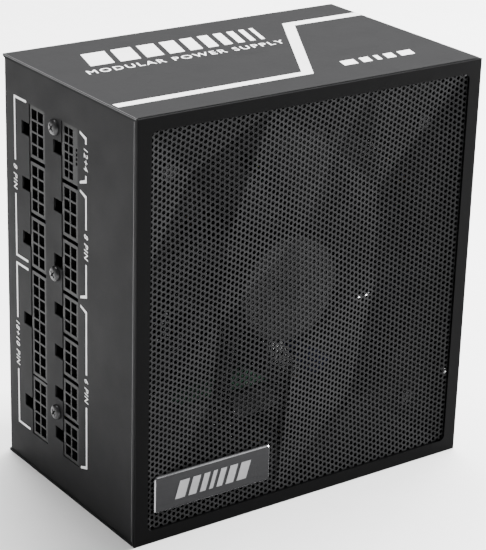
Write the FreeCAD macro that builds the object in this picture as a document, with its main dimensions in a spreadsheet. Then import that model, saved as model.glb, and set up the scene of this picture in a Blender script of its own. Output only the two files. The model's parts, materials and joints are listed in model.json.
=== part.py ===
"""Modular computer power supply in a compact 150 x 86 x 140 mm steel casing, as separate pieces.

Frame: origin at the middle of the end plate that the unit stands on, +Z up along the 150 mm height.
-Y is the fan side, +Y the closed back, -X the connector panel, +X the rear panel with the mains inlet.
All sizes are millimetres and live in the spreadsheet "Sizes"; every piece is bound to its cells.
"""

import FreeCAD, Part
import math
import os
import re

import Sketcher
from FreeCAD import Placement, Rotation, Vector

doc = FreeCAD.newDocument("PowerSupply")

# ---------------------------------------------------------------- driving dimensions

SIZES = (
    ("casing_length", 140.0, "connector panel to rear panel, along X"),
    ("casing_depth", 86.0, "fan side to back, along Y"),
    ("casing_height", 150.0, "bottom plate to top plate, along Z"),
    ("sheet_metal", 0.8, "steel sheet of the casing"),
    ("bend_radius", 1.0, "outside radius of the casing's bends"),
    ("sheet_gap", 0.15, "play between two casing sheets"),
    ("panel_recess", 0.3, "how far the end panels sit inside the cover's edges"),
    ("frame_plate", 1.0, "thickness of the front frame"),
    ("frame_edge", 0.35, "radius on the front frame's outer edge"),
    ("frame_rim_side", 5.2, "frame width beside the mesh"),
    ("frame_rim_end", 4.8, "frame width above and below the mesh"),
    ("window_corner", 2.0, "corner radius of the mesh window"),
    ("mesh_sheet", 0.6, "sheet of the mesh grille"),
    ("mesh_lap", 2.2, "lap of the mesh grille behind the frame"),
    ("mesh_relief", 4.2, "deepest fold of the mesh grille"),
    ("badge_length", 47.0, "badge, along X"),
    ("badge_height", 13.3, "badge, along Z"),
    ("badge_plate_thickness", 1.0, "badge thickness"),
    ("badge_from_side", 8.0, "badge to the casing's connector side"),
    ("badge_from_base", 10.6, "badge to the casing's base"),
    ("badge_setback", 0.15, "badge face behind the frame's face"),
    ("badge_pin_radius", 1.0, "pins on the badge's back"),
    ("badge_pin_inset", 7.0, "badge pins from the badge's ends"),
    ("tab_width", 14.0, "cover tab, along X"),
    ("tab_reach", 8.0, "cover tab, along Z"),
    ("tab_from_middle", 48.0, "cover tab to the middle of the casing"),
    ("screw_radius", 1.5, "M3 screw"),
    ("screw_head_radius", 2.75, "M3 screw head"),
    ("screw_head_height", 1.6, "M3 screw head"),
    ("screw_length", 5.0, "M3 screw under its head"),
    ("fan_size", 120.0, "fan housing, square"),
    ("fan_thickness", 25.0, "fan housing, along Y"),
    ("fan_setback", 10.5, "front frame's face to the fan housing"),
    ("fan_bore", 58.6, "radius of the fan housing's bore"),
    ("fan_corner", 8.0, "corner radius of the fan housing"),
    ("fan_flange", 3.5, "fan flange thickness"),
    ("fan_hole_pitch", 105.0, "fan screw pitch"),
    ("fan_hole_radius", 2.15, "fan screw hole"),
    ("fan_tip_gap", 1.1, "blade tip to bore"),
    ("fan_blade_count", 9, "number of blades"),
    ("hub_radius", 20.0, "rotor hub"),
    ("hub_wall", 1.4, "rotor hub wall"),
    ("shaft_skin", 1.26, "plastic in front of the shaft's end"),
    ("hub_depth", 19.0, "rotor hub, along Y"),
    ("hub_setback", 1.2, "rotor hub behind the fan housing's face"),
    ("motor_base", 2.0, "motor base thickness"),
    ("shaft_radius", 1.5, "fan shaft"),
    ("shaft_clearance", 0.04, "radial clearance of the shaft in its bearing"),
    ("bearing_radius", 3.5, "bearing sleeve"),
    ("bearing_tube_wall", 1.0, "wall around the bearing sleeve"),
    ("yoke_wall", 1.0, "steel ring inside the hub"),
    ("magnet_wall", 1.4, "magnet ring"),
    ("air_gap", 0.6, "stator to magnet"),
    ("stator_height", 7.0, "stator core, along Y"),
    ("stator_hub_wall", 1.6, "ring of the stator core on the bearing tube"),
    ("stator_root", 0.5, "start of the stator's arms outside the bearing tube"),
    ("stator_arm", 2.4, "width of a stator arm"),
    ("stator_shoe", 1.5, "thickness of a stator shoe"),
    ("stator_shoe_share", 0.62, "width of a shoe to the stator's radius"),
    ("coil_rise", 0.8, "winding above and below an arm"),
    ("coil_width", 5.6, "width of a winding"),
    ("badge_nut_depth", 1.35, "push nuts behind the mesh's border plane"),
    ("bracket_lip", 5.0, "flange of the fan bracket, along Y"),
    ("fan_waist", 14.0, "cut between the fan's flanges at each corner"),
    ("strut_width", 4.0, "fan strut"),
    ("tube_length", 14.0, "bearing tube, along Y"),
    ("motor_board", 1.0, "fan circuit board"),
    ("motor_board_gap", 2.4, "stator core above the motor base"),
    ("blade_width", 15.0, "fan blade, along Y"),
    ("blade_thick", 1.6, "fan blade thickness"),
    ("blade_angle_root", 48.0, "blade angle at the hub, from the plane of rotation"),
    ("blade_angle_tip", 30.0, "blade angle at the tip"),
    ("blade_sweep", 22.0, "forward sweep of the tip"),
    ("blade_phase", 12.0, "turn of the rotor at rest"),
    ("socket_depth", 12.6, "socket housing, along X"),
    ("socket_width", 10.3, "socket housing, along Y"),
    ("socket_wall", 0.85, "socket housing end wall"),
    ("socket_fit", 0.15, "socket housing to its cut-out"),
    ("socket_setback", 0.25, "socket face behind the panel's face"),
    ("circuit_pitch", 4.2, "pitch of the power circuits"),
    ("circuit_cell", 3.5, "cell of a power circuit"),
    ("fine_pitch", 3.0, "pitch of the fine circuits"),
    ("fine_cell", 2.4, "cell of a fine circuit"),
    ("cell_depth", 10.4, "depth of the cells"),
    ("pin_width", 1.1, "contact pin of a power circuit"),
    ("fine_pin_width", 0.8, "contact pin of a fine circuit"),
    ("pin_fit", 0.05, "contact pin to its hole"),
    ("pin_rise", 8.0, "contact pin above the cell floor"),
    ("sense_cell", 1.0, "cell of a sense contact"),
    ("sense_floor", 4.0, "floor of the sense cells above the other cells' floor"),
    ("sense_pitch", 1.6, "pitch of the sense contacts"),
    ("latch_width", 5.2, "latch window, along Y"),
    ("latch_height", 4.6, "latch window, along Z"),
    ("latch_ramp", 1.2, "height of the latch ramp"),
    ("latch_length", 4.2, "latch ramp, along X"),
    ("latch_width_inside", 3.22, "latch ramp, along Z"),
    ("stack_top", 13.4, "first socket below the casing's top"),
    ("socket_gap", 1.4, "between two sockets"),
    ("pair_gap", 0.7, "between the two halves of the main pair"),
    ("fan_to_sockets", 1.55, "fan housing to the right column of sockets, along Y"),
    ("column_pitch", 21.45, "between the two columns of sockets, along Y"),
    ("screws_from_column", 9.3, "panel screws to the middle of the right column"),
    ("panel_screw_first", 16.7, "first panel screw below the top"),
    ("panel_screw_pitch", 51.9, "between two panel screws"),
    ("post_radius", 2.75, "socket board post"),
    ("board_thickness", 1.6, "circuit boards"),
    ("board_clearance", 7.0, "main board to the back panel"),
    ("board_margin", 4.0, "main board to the casing's plates"),
    ("board_screw_inset", 8.0, "main board screws from its edges"),
    ("standoff_radius", 2.75, "main board standoffs"),
    ("film", 0.4, "insulation sheet"),
    ("film_gap", 1.0, "insulation sheet to the cover's tabs"),
    ("socket_board_gap", 0.5, "socket board's free edge to the fan housing, along Y"),
    ("mount_radius", 1.75, "rear panel screw holes, 6-32"),
    ("mount_land", 2.5, "plain metal around the rear panel's screw holes"),
    ("mount_wall", 0.8, "wall of the threaded collars"),
    ("mount_edge", 6.0, "rear panel screw holes from the casing's edges"),
    ("mount_low_y", 74.0, "hole pair across the depth"),
    ("mount_side_z", 114.0, "hole pair along the height"),
    ("mount_offset_y", 10.0, "offset of the fourth hole across the depth"),
    ("mount_fourth_z", 138.0, "fourth hole along the height"),
    ("vent_hole", 5.0, "honeycomb hole across flats"),
    ("vent_web", 1.2, "web between honeycomb holes"),
    ("vent_edge", 6.5, "honeycomb to the panel's edges"),
    ("rear_flange", 3.0, "tray flange behind the rear panel"),
    ("inlet_y", 15.0, "Y of the mains inlet"),
    ("inlet_z", 114.0, "Z of the mains inlet"),
    ("inlet_flange_height", 48.0, "inlet flange, along Z"),
    ("inlet_flange_width", 22.5, "inlet flange, along Y"),
    ("inlet_flange_plate", 1.6, "inlet flange thickness"),
    ("inlet_mouth_height", 24.2, "inlet mouth, along Z"),
    ("inlet_mouth_width", 16.4, "inlet mouth, along Y"),
    ("inlet_wall", 1.6, "inlet wall"),
    ("inlet_depth", 16.0, "depth of the inlet's mouth"),
    ("inlet_screw_pitch", 40.0, "inlet screws, along Z"),
    ("mains_blade_width", 4.0, "mains blade width"),
    ("mains_blade_plate", 2.0, "mains blade thickness"),
    ("mains_blade_rise", 12.5, "mains blade above the inlet's floor"),
    ("mains_blade_pitch", 7.0, "live and neutral blades from the middle"),
    ("earth_offset", 4.0, "earth blade from the live and neutral line"),
    ("switch_y", 15.0, "Y of the switch"),
    ("switch_z", 71.0, "Z of the switch"),
    ("switch_height", 25.0, "switch bezel, along Z"),
    ("switch_width", 19.0, "switch bezel, along Y"),
    ("switch_bezel", 1.6, "switch bezel thickness"),
    ("switch_wall", 2.0, "switch housing wall"),
    ("switch_depth", 15.0, "switch housing behind the panel"),
    ("bus_bar", 1.0, "bus bar thickness"),
    ("bus_bar_width", 12.0, "bus bar, along Z"),
    ("bus_bar_reach", 6.0, "legs of the bus bars"),
    ("bus_bar_count", 5, "number of bus bars"),
    ("mount_boss", 1.6, "threaded collar behind the rear panel"),
    ("inlet_bevel", 6.0, "corner bevels of the inlet's mouth"),
    ("tag_length", 6.0, "solder tags of the inlet and the switch"),
    ("tag_plate", 0.8, "thickness of the switch's solder tags"),
    ("tag_from_middle", 5.0, "switch's solder tags to its middle"),
    ("rocker_pivot_depth", 3.0, "rocker pivot behind the rear panel's face"),
    ("rocker_swing", 0.9, "room for the rocker's ends to swing"),
    ("can_shoulder", 1.2, "shoulder of the can capacitors"),
    ("bulk_can_radius", 11.0, "bulk capacitors"),
    ("bulk_can_height", 36.0, "bulk capacitors"),
    ("output_can_radius", 4.0, "output capacitors"),
    ("output_can_height", 16.0, "output capacitors"),
    ("choke_foot", 1.5, "foot under the ring chokes"),
    ("output_can_pitch", 13.0, "between two output capacitors"),
    ("output_can_from_board", 12.0, "output capacitors to the socket board"),
    ("heatsink_height", 34.0, "heatsinks above the main board"),
    ("heatsink_plate", 2.5, "heatsink wall"),
    ("fin_pitch", 6.0, "between two fins"),
    ("fin_reach", 3.5, "fins beside the heatsink's wall"),
    ("fin_plate", 1.25, "thickness of a fin"),
    ("fin_depth", 10.0, "fins, along Y"),
    ("primary_width", 49.4, "strip of the main board for the mains side"),
    ("output_can_count", 8, "number of output capacitors"),
    ("output_sink_from_board", 23.25, "output heatsink to the socket board"),
    ("output_fins", 11, "fins of the output heatsink"),
    ("boost_fins", 14, "fins of the mains side's heatsink"),
    ("sink_from_edge", 19.2, "heatsinks to the board's lower edge"),
    ("control_from_sink", 12.0, "control board to the mains side's heatsink"),
    ("control_from_edge", 85.2, "control board to the board's lower edge"),
    ("control_rise", 26.0, "control board above the main board"),
    ("control_length", 28.0, "control board, along Z"),
    ("bulk_from_sink", 21.0, "bulk capacitors to the mains side's heatsink"),
    ("bulk_from_edge", 21.2, "first bulk capacitor to the board's lower edge"),
    ("bulk_can_gap", 3.0, "between the bulk capacitors"),
    ("boost_from_edge", 77.2, "power factor choke to the board's lower edge"),
    ("boost_radius", 13.0, "power factor choke"),
    ("boost_wire", 5.0, "power factor choke's wound section"),
    ("line_from_middle", 6.0, "filter chokes to the middle of the mains strip"),
    ("line_from_edge", 33.2, "filter chokes to the board's upper edge"),
    ("line_radius", 10.0, "filter chokes"),
    ("line_wire", 4.0, "filter chokes' wound section"),
    ("filter_from_edge", 18.2, "filter capacitor and relay to the board's upper edge"),
    ("filter_from_sink", 7.0, "filter capacitor to the heatsink's line"),
    ("filter_length", 26.0, "filter capacitor, along X"),
    ("filter_rise", 16.0, "filter capacitor above the board"),
    ("filter_width", 10.0, "filter capacitor, along Z"),
    ("relay_from_sink", 11.0, "relay to the heatsink's line"),
    ("relay_length", 14.0, "relay, along X"),
    ("relay_rise", 15.0, "relay above the board"),
    ("relay_width", 9.0, "relay, along Z"),
    ("chip_from_edge", 23.2, "first transistor to the board's lower edge"),
    ("chip_pitch", 15.0, "between two transistors"),
    ("chip_plate", 4.6, "transistor thickness"),
    ("chip_rise", 20.0, "transistor above the board"),
    ("chip_width", 12.0, "transistor, along Z"),
    ("rectifier_from_edge", 73.2, "bridge rectifier to the board's lower edge"),
    ("rectifier_rise", 22.0, "bridge rectifier above the board"),
    ("rectifier_width", 20.0, "bridge rectifier, along Z"),
    ("winding_proud", 1.0, "windings longer than their cores, along Z"),
    ("transformer_from_sink", 40.0, "main transformer to the mains side's heatsink"),
    ("transformer_from_edge", 53.2, "main transformer to the board's lower edge"),
    ("transformer_length", 34.0, "main transformer, along X"),
    ("transformer_size", 30.0, "main transformer, along Y and Z"),
    ("winding_length", 24.0, "main transformer's winding, along X and Y"),
    ("resonant_from_sink", 35.0, "resonant choke to the mains side's heatsink"),
    ("resonant_from_edge", 21.2, "resonant choke to the board's lower edge"),
    ("resonant_length", 24.0, "resonant choke, along X and Y"),
    ("resonant_width", 20.0, "resonant choke, along Z"),
    ("resonant_winding", 16.0, "resonant choke's winding, along X"),
    ("resonant_rise", 18.0, "resonant choke's winding, along Y"),
    ("standby_from_sink", 37.0, "standby transformer to the mains side's heatsink"),
    ("standby_from_edge", 95.2, "standby transformer to the board's lower edge"),
    ("standby_length", 20.0, "standby transformer, along X and Y"),
    ("standby_width", 17.0, "standby transformer, along Z"),
    ("standby_winding", 13.0, "standby transformer's winding, along X"),
    ("standby_rise", 15.0, "standby transformer's winding, along Y"),
    ("post_share", 0.2, "radius of a core's centre post to its length"),
    ("rocker_gap", 0.35, "rocker to its housing"),
    ("rocker_tilt", 9.0, "rocker tilt at rest"),
    ("rocker_rise", 3.0, "rocker above its pivot line at the ends"),
    ("rocker_belly", 2.64, "rocker's underside below its pivot line"),
    ("rocker_heel", 0.528, "rocker's ends below its pivot line"),
    ("rocker_dish", 1.6, "how much lower the rocker's middle is"),
    ("pivot_radius", 1.2, "rocker pivot studs"),
    ("pivot_clearance", 0.05, "radial clearance of the pivot studs"),
    ("pivot_depth", 1.4, "length of the pivot studs"),
)

sheet = doc.addObject("Spreadsheet::Sheet", "Sizes")
for row, (alias, value, meaning) in enumerate(SIZES, 1):
    sheet.set(f"A{row}", meaning)
    sheet.set(f"B{row}", str(value))
    sheet.setAlias(f"B{row}", alias)
doc.recompute()
ALIASES = {alias for alias, _, _ in SIZES}

# ---------------------------------------------------------------- formulas shared by several pieces

FRONT = "(-casing_depth / 2)"
BACK = "(casing_depth / 2)"
LEFT = "(-casing_length / 2)"
RIGHT = "(casing_length / 2)"
TOP = "casing_height"
MIDDLE = "(casing_height / 2)"
WEB_FRONT = f"({FRONT} + frame_plate)"
WEB_BACK = f"({WEB_FRONT} + sheet_metal)"
PANEL_FACE = f"({LEFT} + panel_recess)"
PANEL_BACK = f"({PANEL_FACE} + sheet_metal)"
REAR_FACE = f"({RIGHT} - panel_recess)"
REAR_BACK = f"({REAR_FACE} - sheet_metal)"
BACK_INSIDE = f"({BACK} - sheet_metal)"
LOW_INSIDE = "(sheet_metal + sheet_gap)"
HIGH_INSIDE = f"({TOP} - sheet_metal - sheet_gap)"
FAN_FRONT = f"({FRONT} + fan_setback)"
FAN_BACK = f"({FAN_FRONT} + fan_thickness)"
BOARD_BACK = f"({BACK_INSIDE} - board_clearance)"
BOARD_FACE = f"({BOARD_BACK} - board_thickness)"
SOCKET_FACE = f"({PANEL_FACE} + socket_setback)"
SOCKET_BOARD = f"({SOCKET_FACE} + socket_depth)"
SOCKET_BOARD_BACK = f"({SOCKET_BOARD} + board_thickness)"
RIGHT_COLUMN = f"({FAN_BACK} + fan_to_sockets + socket_width / 2)"
LEFT_COLUMN = f"({RIGHT_COLUMN} + column_pitch)"
PANEL_SCREW_Y = f"({RIGHT_COLUMN} + screws_from_column)"
HUB_FRONT = f"({FAN_FRONT} + hub_setback)"
SHAFT_FRONT = f"({HUB_FRONT} + shaft_skin)"
ROOT_FACE = f"({FAN_BACK} - motor_base)"
BOARD_LOW = "(board_margin + sheet_metal)"
BOARD_HIGH = f"({TOP} - board_margin - sheet_metal)"
BOARD_RIGHT = f"({RIGHT} - board_margin - 2 * sheet_metal)"
PRIMARY_LEFT = f"({BOARD_RIGHT} - primary_width)"


def cells(formula):
    """The formula with each alias written as a reference to the spreadsheet."""
    return re.sub(r"[A-Za-z_]\w*", lambda m: f"Sizes.{m[0]}" if m[0] in ALIASES else m[0], str(formula))


def bind(piece, path, formula):
    """Ties one property of a piece to a formula of the sheet's cells."""
    piece.setExpression(path, cells(formula))


def number(formula):
    """The present value of a formula, worked out by the sheet itself."""
    return float(sheet.evalExpression(cells(formula)))


# ---------------------------------------------------------------- Part primitives and booleans

AXES = {
    "x": Rotation(Vector(0, 1, 0), 90),
    "-x": Rotation(Vector(0, 1, 0), -90),
    "y": Rotation(Vector(1, 0, 0), -90),
    "-y": Rotation(Vector(1, 0, 0), 90),
    "z": Rotation(),
}
NODES = []


def place(piece, at, rotation=None):
    """Puts a piece at three formulas, turned by a rotation."""
    piece.Placement = Placement(Vector(), rotation or Rotation())
    for axis, formula in zip("xyz", at):
        bind(piece, f"Placement.Base.{axis}", formula)


def box(name, low, size):
    """A block from its lowest corner and its size along X, Y and Z."""
    piece = doc.addObject("Part::Box", name)
    for path, formula in zip(("Length", "Width", "Height"), size):
        bind(piece, path, formula)
    place(piece, low)
    return piece


def rod(name, at, radius, height, axis="z"):
    """A cylinder that starts at a point and runs along an axis."""
    piece = doc.addObject("Part::Cylinder", name)
    bind(piece, "Radius", radius)
    bind(piece, "Height", height)
    place(piece, at, AXES[axis])
    return piece


def cone(name, at, radii, height, axis="z"):
    """A truncated cone that starts at a point with the first radius."""
    piece = doc.addObject("Part::Cone", name)
    bind(piece, "Radius1", radii[0])
    bind(piece, "Radius2", radii[1])
    bind(piece, "Height", height)
    place(piece, at, AXES[axis])
    return piece


def fuse(name, pieces):
    """One solid from several that touch or overlap."""
    piece = doc.addObject("Part::MultiFuse", name)
    piece.Shapes = pieces
    return piece


def group(name, pieces):
    """Several separate solids as one piece."""
    piece = doc.addObject("Part::Compound", name)
    piece.Links = pieces
    return piece


def cut(name, base, tools):
    """A solid less one or more tools."""
    piece = doc.addObject("Part::Cut", name)
    piece.Base = base
    piece.Tool = tools[0] if len(tools) == 1 else group(name + "_tools", tools)
    return piece


def node(piece, label):
    """Names a finished sub-part and lists it for export."""
    piece.Label = label
    NODES.append(piece)
    return piece


def shape_node(label, shape, at=("0", "0", "0")):
    """A sub-part whose shape is made by Part's own functions from the sheet's sizes."""
    piece = doc.addObject("Part::Feature", label)
    piece.Shape = shape
    place(piece, at)
    return node(piece, label)


def screw(name, at, axis, length="screw_length"):
    """A pan head screw: its head stands on the point, and its shank runs back from it."""
    back = {"x": "-x", "-x": "x", "y": "-y", "-y": "y"}[axis]
    head = rod(name + "_head", at, "screw_head_radius", "screw_head_height", axis)
    shank = rod(name + "_shank", at, "screw_radius", length, back)
    return fuse(name, [head, shank])


# ---------------------------------------------------------------- PartDesign bodies


def new_body(label):
    """An empty PartDesign body, listed for export."""
    return node(doc.addObject("PartDesign::Body", label), label)


def sketch(body, name, plane, offset):
    """A sketch on one of the body's own origin planes, moved along its normal."""
    drawn = body.newObject("Sketcher::SketchObject", name)
    support = next(f for f in body.Origin.OriginFeatures if f.Role == plane)
    drawn.AttachmentSupport = [(support, "")]
    drawn.MapMode = "FlatFace"
    bind(drawn, "AttachmentOffset.Base.z", offset)
    return drawn


def outline(drawn, points):
    """A closed outline of straight lines through points given as pairs of formulas."""
    at = [Vector(number(x), number(y), 0) for x, y in points]
    first = drawn.GeometryCount
    count = len(points)
    drawn.addGeometry([Part.LineSegment(at[i], at[(i + 1) % count]) for i in range(count)], False)
    joins = [
        Sketcher.Constraint("Coincident", first + i, 2, first + (i + 1) % count, 1) for i in range(count)
    ]
    drawn.addConstraint(joins)
    tied, formulas = [], []
    for i, (x, y) in enumerate(points):
        tied.append(Sketcher.Constraint("DistanceX", -1, 1, first + i, 1, at[i].x))
        tied.append(Sketcher.Constraint("DistanceY", -1, 1, first + i, 1, at[i].y))
        formulas += [x, y]
    for index, formula in zip(drawn.addConstraint(tied), formulas):
        drawn.setExpression(f"Constraints[{index}]", cells(formula))


def rectangle(drawn, low, high):
    """A rectangle between two corners given as pairs of formulas."""
    outline(drawn, [low, (high[0], low[1]), high, (low[0], high[1])])


def circle(drawn, centre, radius):
    """A circle at a pair of formulas."""
    x, y, r = number(centre[0]), number(centre[1]), number(radius)
    index = drawn.addGeometry(Part.Circle(Vector(x, y, 0), Vector(0, 0, 1), r), False)
    tied = [
        Sketcher.Constraint("DistanceX", -1, 1, index, 3, x),
        Sketcher.Constraint("DistanceY", -1, 1, index, 3, y),
        Sketcher.Constraint("Radius", index, r),
    ]
    for at, formula in zip(drawn.addConstraint(tied), (*centre, radius)):
        drawn.setExpression(f"Constraints[{at}]", cells(formula))


def feature(body, kind, drawn, length, reverse=False):
    """A Pad or Pocket of a sketch; its volume must change the body's the right way."""
    doc.recompute()
    before = body.Shape.Volume if body.Shape and not body.Shape.isNull() else 0.0
    made = body.newObject(f"PartDesign::{kind}", f"{drawn.Name}_{kind}")
    made.Profile = drawn
    made.Reversed = reverse
    bind(made, "Length", length)
    body.Tip = made
    doc.recompute()
    change = body.Shape.Volume - before
    if (change > 0) != (kind == "Pad") or abs(change) < 1e-6:
        raise RuntimeError(f"{made.Name} changes nothing or the wrong way: {change}")
    return made


def round_edges(body, wanted, radius, kind="Fillet"):
    """Rounds or bevels the edges that a test picks out."""
    doc.recompute()
    names = [f"Edge{i + 1}" for i, edge in enumerate(body.Shape.Edges) if wanted(edge)]
    if not names:
        raise RuntimeError(f"no edge to round on {body.Label}")
    base = body.Tip
    made = body.newObject(f"PartDesign::{kind}", f"{body.Name}_{kind}")
    made.Base = (base, names)
    bind(made, "Radius" if kind == "Fillet" else "Size", radius)
    body.Tip = made
    doc.recompute()
    return made


def straight(edge, axis, **at):
    """True for a straight edge along an axis whose middle lies at the given coordinates."""
    if not isinstance(edge.Curve, Part.Line):
        return False
    way = edge.tangentAt(edge.FirstParameter)
    if abs(abs(getattr(way, axis)) - 1) > 1e-6:
        return False
    middle = edge.BoundBox.Center
    return all(min(abs(getattr(middle, k) - v) for v in values) < 1e-4 for k, values in at.items())


# ---------------------------------------------------------------- casing


def make_cover():
    """C-shaped sheet: top and bottom plates, the open web on the fan side and four screw tabs at the back."""
    body = new_body("cover")
    drawn = sketch(body, "cover_section", "YZ_Plane", LEFT)
    inner_front, inner_low, inner_high = WEB_BACK, "sheet_metal", f"({TOP} - sheet_metal)"
    outline(
        drawn,
        [
            (WEB_FRONT, "0"),
            (BACK, "0"),
            (BACK, inner_low),
            (inner_front, inner_low),
            (inner_front, inner_high),
            (BACK, inner_high),
            (BACK, TOP),
            (WEB_FRONT, TOP),
        ],
    )
    feature(body, "Pad", drawn, "casing_length")
    front, high = number(WEB_FRONT), number(TOP)
    round_edges(body, lambda e: straight(e, "x", y=[front], z=[0, high]), "bend_radius")
    window = sketch(body, "cover_window", "XZ_Plane", f"-{WEB_FRONT}")
    side = f"({RIGHT} - frame_rim_side + mesh_lap + sheet_gap)"
    end = "(frame_rim_end - mesh_lap - sheet_gap)"
    rectangle(window, (f"-{side}", end), (side, f"{TOP} - {end}"))
    feature(body, "Pocket", window, "sheet_metal")
    tabs = sketch(body, "cover_tabs", "XZ_Plane", f"-{BACK_INSIDE}")
    for sign in ("-", ""):
        low_x, high_x = f"{sign}tab_from_middle - tab_width / 2", f"{sign}tab_from_middle + tab_width / 2"
        rectangle(tabs, (low_x, "sheet_metal / 2"), (high_x, "tab_reach"))
        rectangle(tabs, (low_x, f"{TOP} - tab_reach"), (high_x, f"{TOP} - sheet_metal / 2"))
    feature(body, "Pad", tabs, "sheet_metal")
    holes = sketch(body, "cover_tab_holes", "XZ_Plane", f"-{BACK_INSIDE} + sheet_metal")
    for sign in ("-", ""):
        for height in ("tab_reach / 2 + sheet_metal", f"{TOP} - tab_reach / 2 - sheet_metal"):
            circle(holes, (f"{sign}tab_from_middle", height), "screw_radius")
    feature(body, "Pocket", holes, "sheet_metal")


def make_front_frame():
    """Flat plate over the fan side, with the window that the mesh shows through."""
    body = new_body("front_frame")
    drawn = sketch(body, "front_plate", "XZ_Plane", f"-{WEB_FRONT}")
    rectangle(drawn, (LEFT, "0"), (RIGHT, TOP))
    feature(body, "Pad", drawn, "frame_plate")
    window = sketch(body, "front_window", "XZ_Plane", f"-{FRONT}")
    side = f"({RIGHT} - frame_rim_side)"
    rectangle(window, (f"-{side}", "frame_rim_end"), (side, f"{TOP} - frame_rim_end"))
    feature(body, "Pocket", window, "frame_plate")
    reach = number(side)
    round_edges(body, lambda e: straight(e, "y", x=[-reach, reach]), "window_corner")
    half, high, front = number(RIGHT), number(TOP), number(FRONT)
    round_edges(
        body,
        lambda e: straight(e, "x", y=[front], z=[0, high]) or straight(e, "z", y=[front], x=[-half, half]),
        "frame_edge",
    )


def socket_stacks():
    """Every socket as label, column formula, circuits per row, pitch, and the formula of its top edge."""
    stacks = (
        (LEFT_COLUMN, (("socket_cpu_1", 4), ("socket_cpu_2", 4), ("socket_cpu_3", 4), ("socket_main_18", 9),
                       ("socket_main_10", 5))),
        (RIGHT_COLUMN, (("socket_graphics", 6), ("socket_cpu_4", 4), ("socket_cpu_5", 4),
                        ("socket_drive_1", 3), ("socket_drive_2", 3), ("socket_drive_3", 3),
                        ("socket_drive_4", 3))),
    )
    for column, sockets in stacks:
        top = f"{TOP} - stack_top"
        for label, circuits in sockets:
            if label == "socket_main_10":
                top = f"{top} + socket_gap - pair_gap"
            pitch = "fine_pitch" if label == "socket_graphics" else "circuit_pitch"
            yield label, column, circuits, pitch, top
            top = f"{top} - {circuits} * {pitch} - 2 * socket_wall - socket_gap"


def socket_spans():
    """Every socket as label, column, the formula of its top edge and the formula of its length along Z."""
    for label, column, circuits, pitch, top in socket_stacks():
        yield label, column, top, f"({circuits} * {pitch} + 2 * socket_wall)"


def panel_screw_heights():
    """Heights of the three screws that hold the socket board."""
    return [f"{TOP} - panel_screw_first - {i} * panel_screw_pitch" for i in range(3)]


def make_tray():
    """Back panel with the connector panel and a narrow rear flange bent from it."""
    body = new_body("chassis_tray")
    drawn = sketch(body, "tray_section", "XY_Plane", LOW_INSIDE)
    front = f"({WEB_BACK} + sheet_gap)"
    outline(
        drawn,
        [
            (PANEL_FACE, front),
            (PANEL_BACK, front),
            (PANEL_BACK, BACK_INSIDE),
            (REAR_BACK + " - sheet_metal", BACK_INSIDE),
            (REAR_BACK + " - sheet_metal", f"{BACK} - rear_flange"),
            (REAR_BACK, f"{BACK} - rear_flange"),
            (REAR_BACK, BACK),
            (PANEL_FACE, BACK),
        ],
    )
    feature(body, "Pad", drawn, f"{HIGH_INSIDE} - {LOW_INSIDE}")
    for side, column in (("left", LEFT_COLUMN), ("right", RIGHT_COLUMN)):
        sockets = [(top, length) for _, at, top, length in socket_spans() if at == column]
        near, edge = (f"({column} {sign} (socket_width / 2 + socket_fit))" for sign in "-+")
        # one opening for the whole column, with a notch beside each socket for its plug's latch
        first_top, (last_top, last_length) = sockets[0][0], sockets[-1]
        points = [(near, f"({last_top} - {last_length} - socket_fit)")]
        points.append((edge, points[0][1]))
        for top, length in reversed(sockets):
            middle = f"({top} - {length} / 2)"
            for height, reach in (("-", 0), ("-", 1), ("+", 1), ("+", 0)):
                points.append((f"{edge} + {reach} * latch_width", f"{middle} {height} latch_height / 2"))
        points += [(edge, f"({first_top} + socket_fit)"), (near, f"({first_top} + socket_fit)")]
        cuts = sketch(body, f"tray_cut_{side}", "YZ_Plane", PANEL_FACE)
        outline(cuts, points)
        feature(body, "Pocket", cuts, "sheet_metal", reverse=True)
    panel_holes = sketch(body, "tray_panel_holes", "YZ_Plane", PANEL_FACE)
    for height in panel_screw_heights():
        circle(panel_holes, (PANEL_SCREW_Y, height), "screw_radius + sheet_gap")
    feature(body, "Pocket", panel_holes, "sheet_metal", reverse=True)
    holes = sketch(body, "tray_screw_holes", "XZ_Plane", f"-{BACK}")
    for sign in ("-", ""):
        for height in ("tab_reach / 2 + sheet_metal", f"{TOP} - tab_reach / 2 - sheet_metal"):
            circle(holes, (f"{sign}tab_from_middle", height), "screw_radius + sheet_gap")
    feature(body, "Pocket", holes, "sheet_metal", reverse=True)
    left, back = number(PANEL_FACE), number(BACK)
    round_edges(body, lambda e: straight(e, "z", x=[left], y=[back]), "bend_radius")


def make_casing_screws():
    """Four screws in the back panel, two in the inlet's flange, and three that hold the socket board."""
    back = []
    for i, sign in enumerate(("-", "")):
        for j, height in enumerate(("tab_reach / 2 + sheet_metal", f"{TOP} - tab_reach / 2 - sheet_metal")):
            back.append(screw(f"cover_screw_{i}{j}", (f"{sign}tab_from_middle", BACK, height), "y"))
    flange = f"{REAR_FACE} + inlet_flange_plate"
    for i, sign in enumerate(("-", "+")):
        height = f"inlet_z {sign} inlet_screw_pitch / 2"
        back.append(screw(f"inlet_screw_{i}", (flange, "inlet_y", height), "x"))
    node(group("casing_screw_group", back), "casing_screws")
    panel = [
        screw(f"panel_screw_{i}", (PANEL_FACE, PANEL_SCREW_Y, height), "-x")
        for i, height in enumerate(panel_screw_heights())
    ]
    node(group("panel_screw_group", panel), "panel_screws")


# ---------------------------------------------------------------- mesh grille and badge


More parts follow.
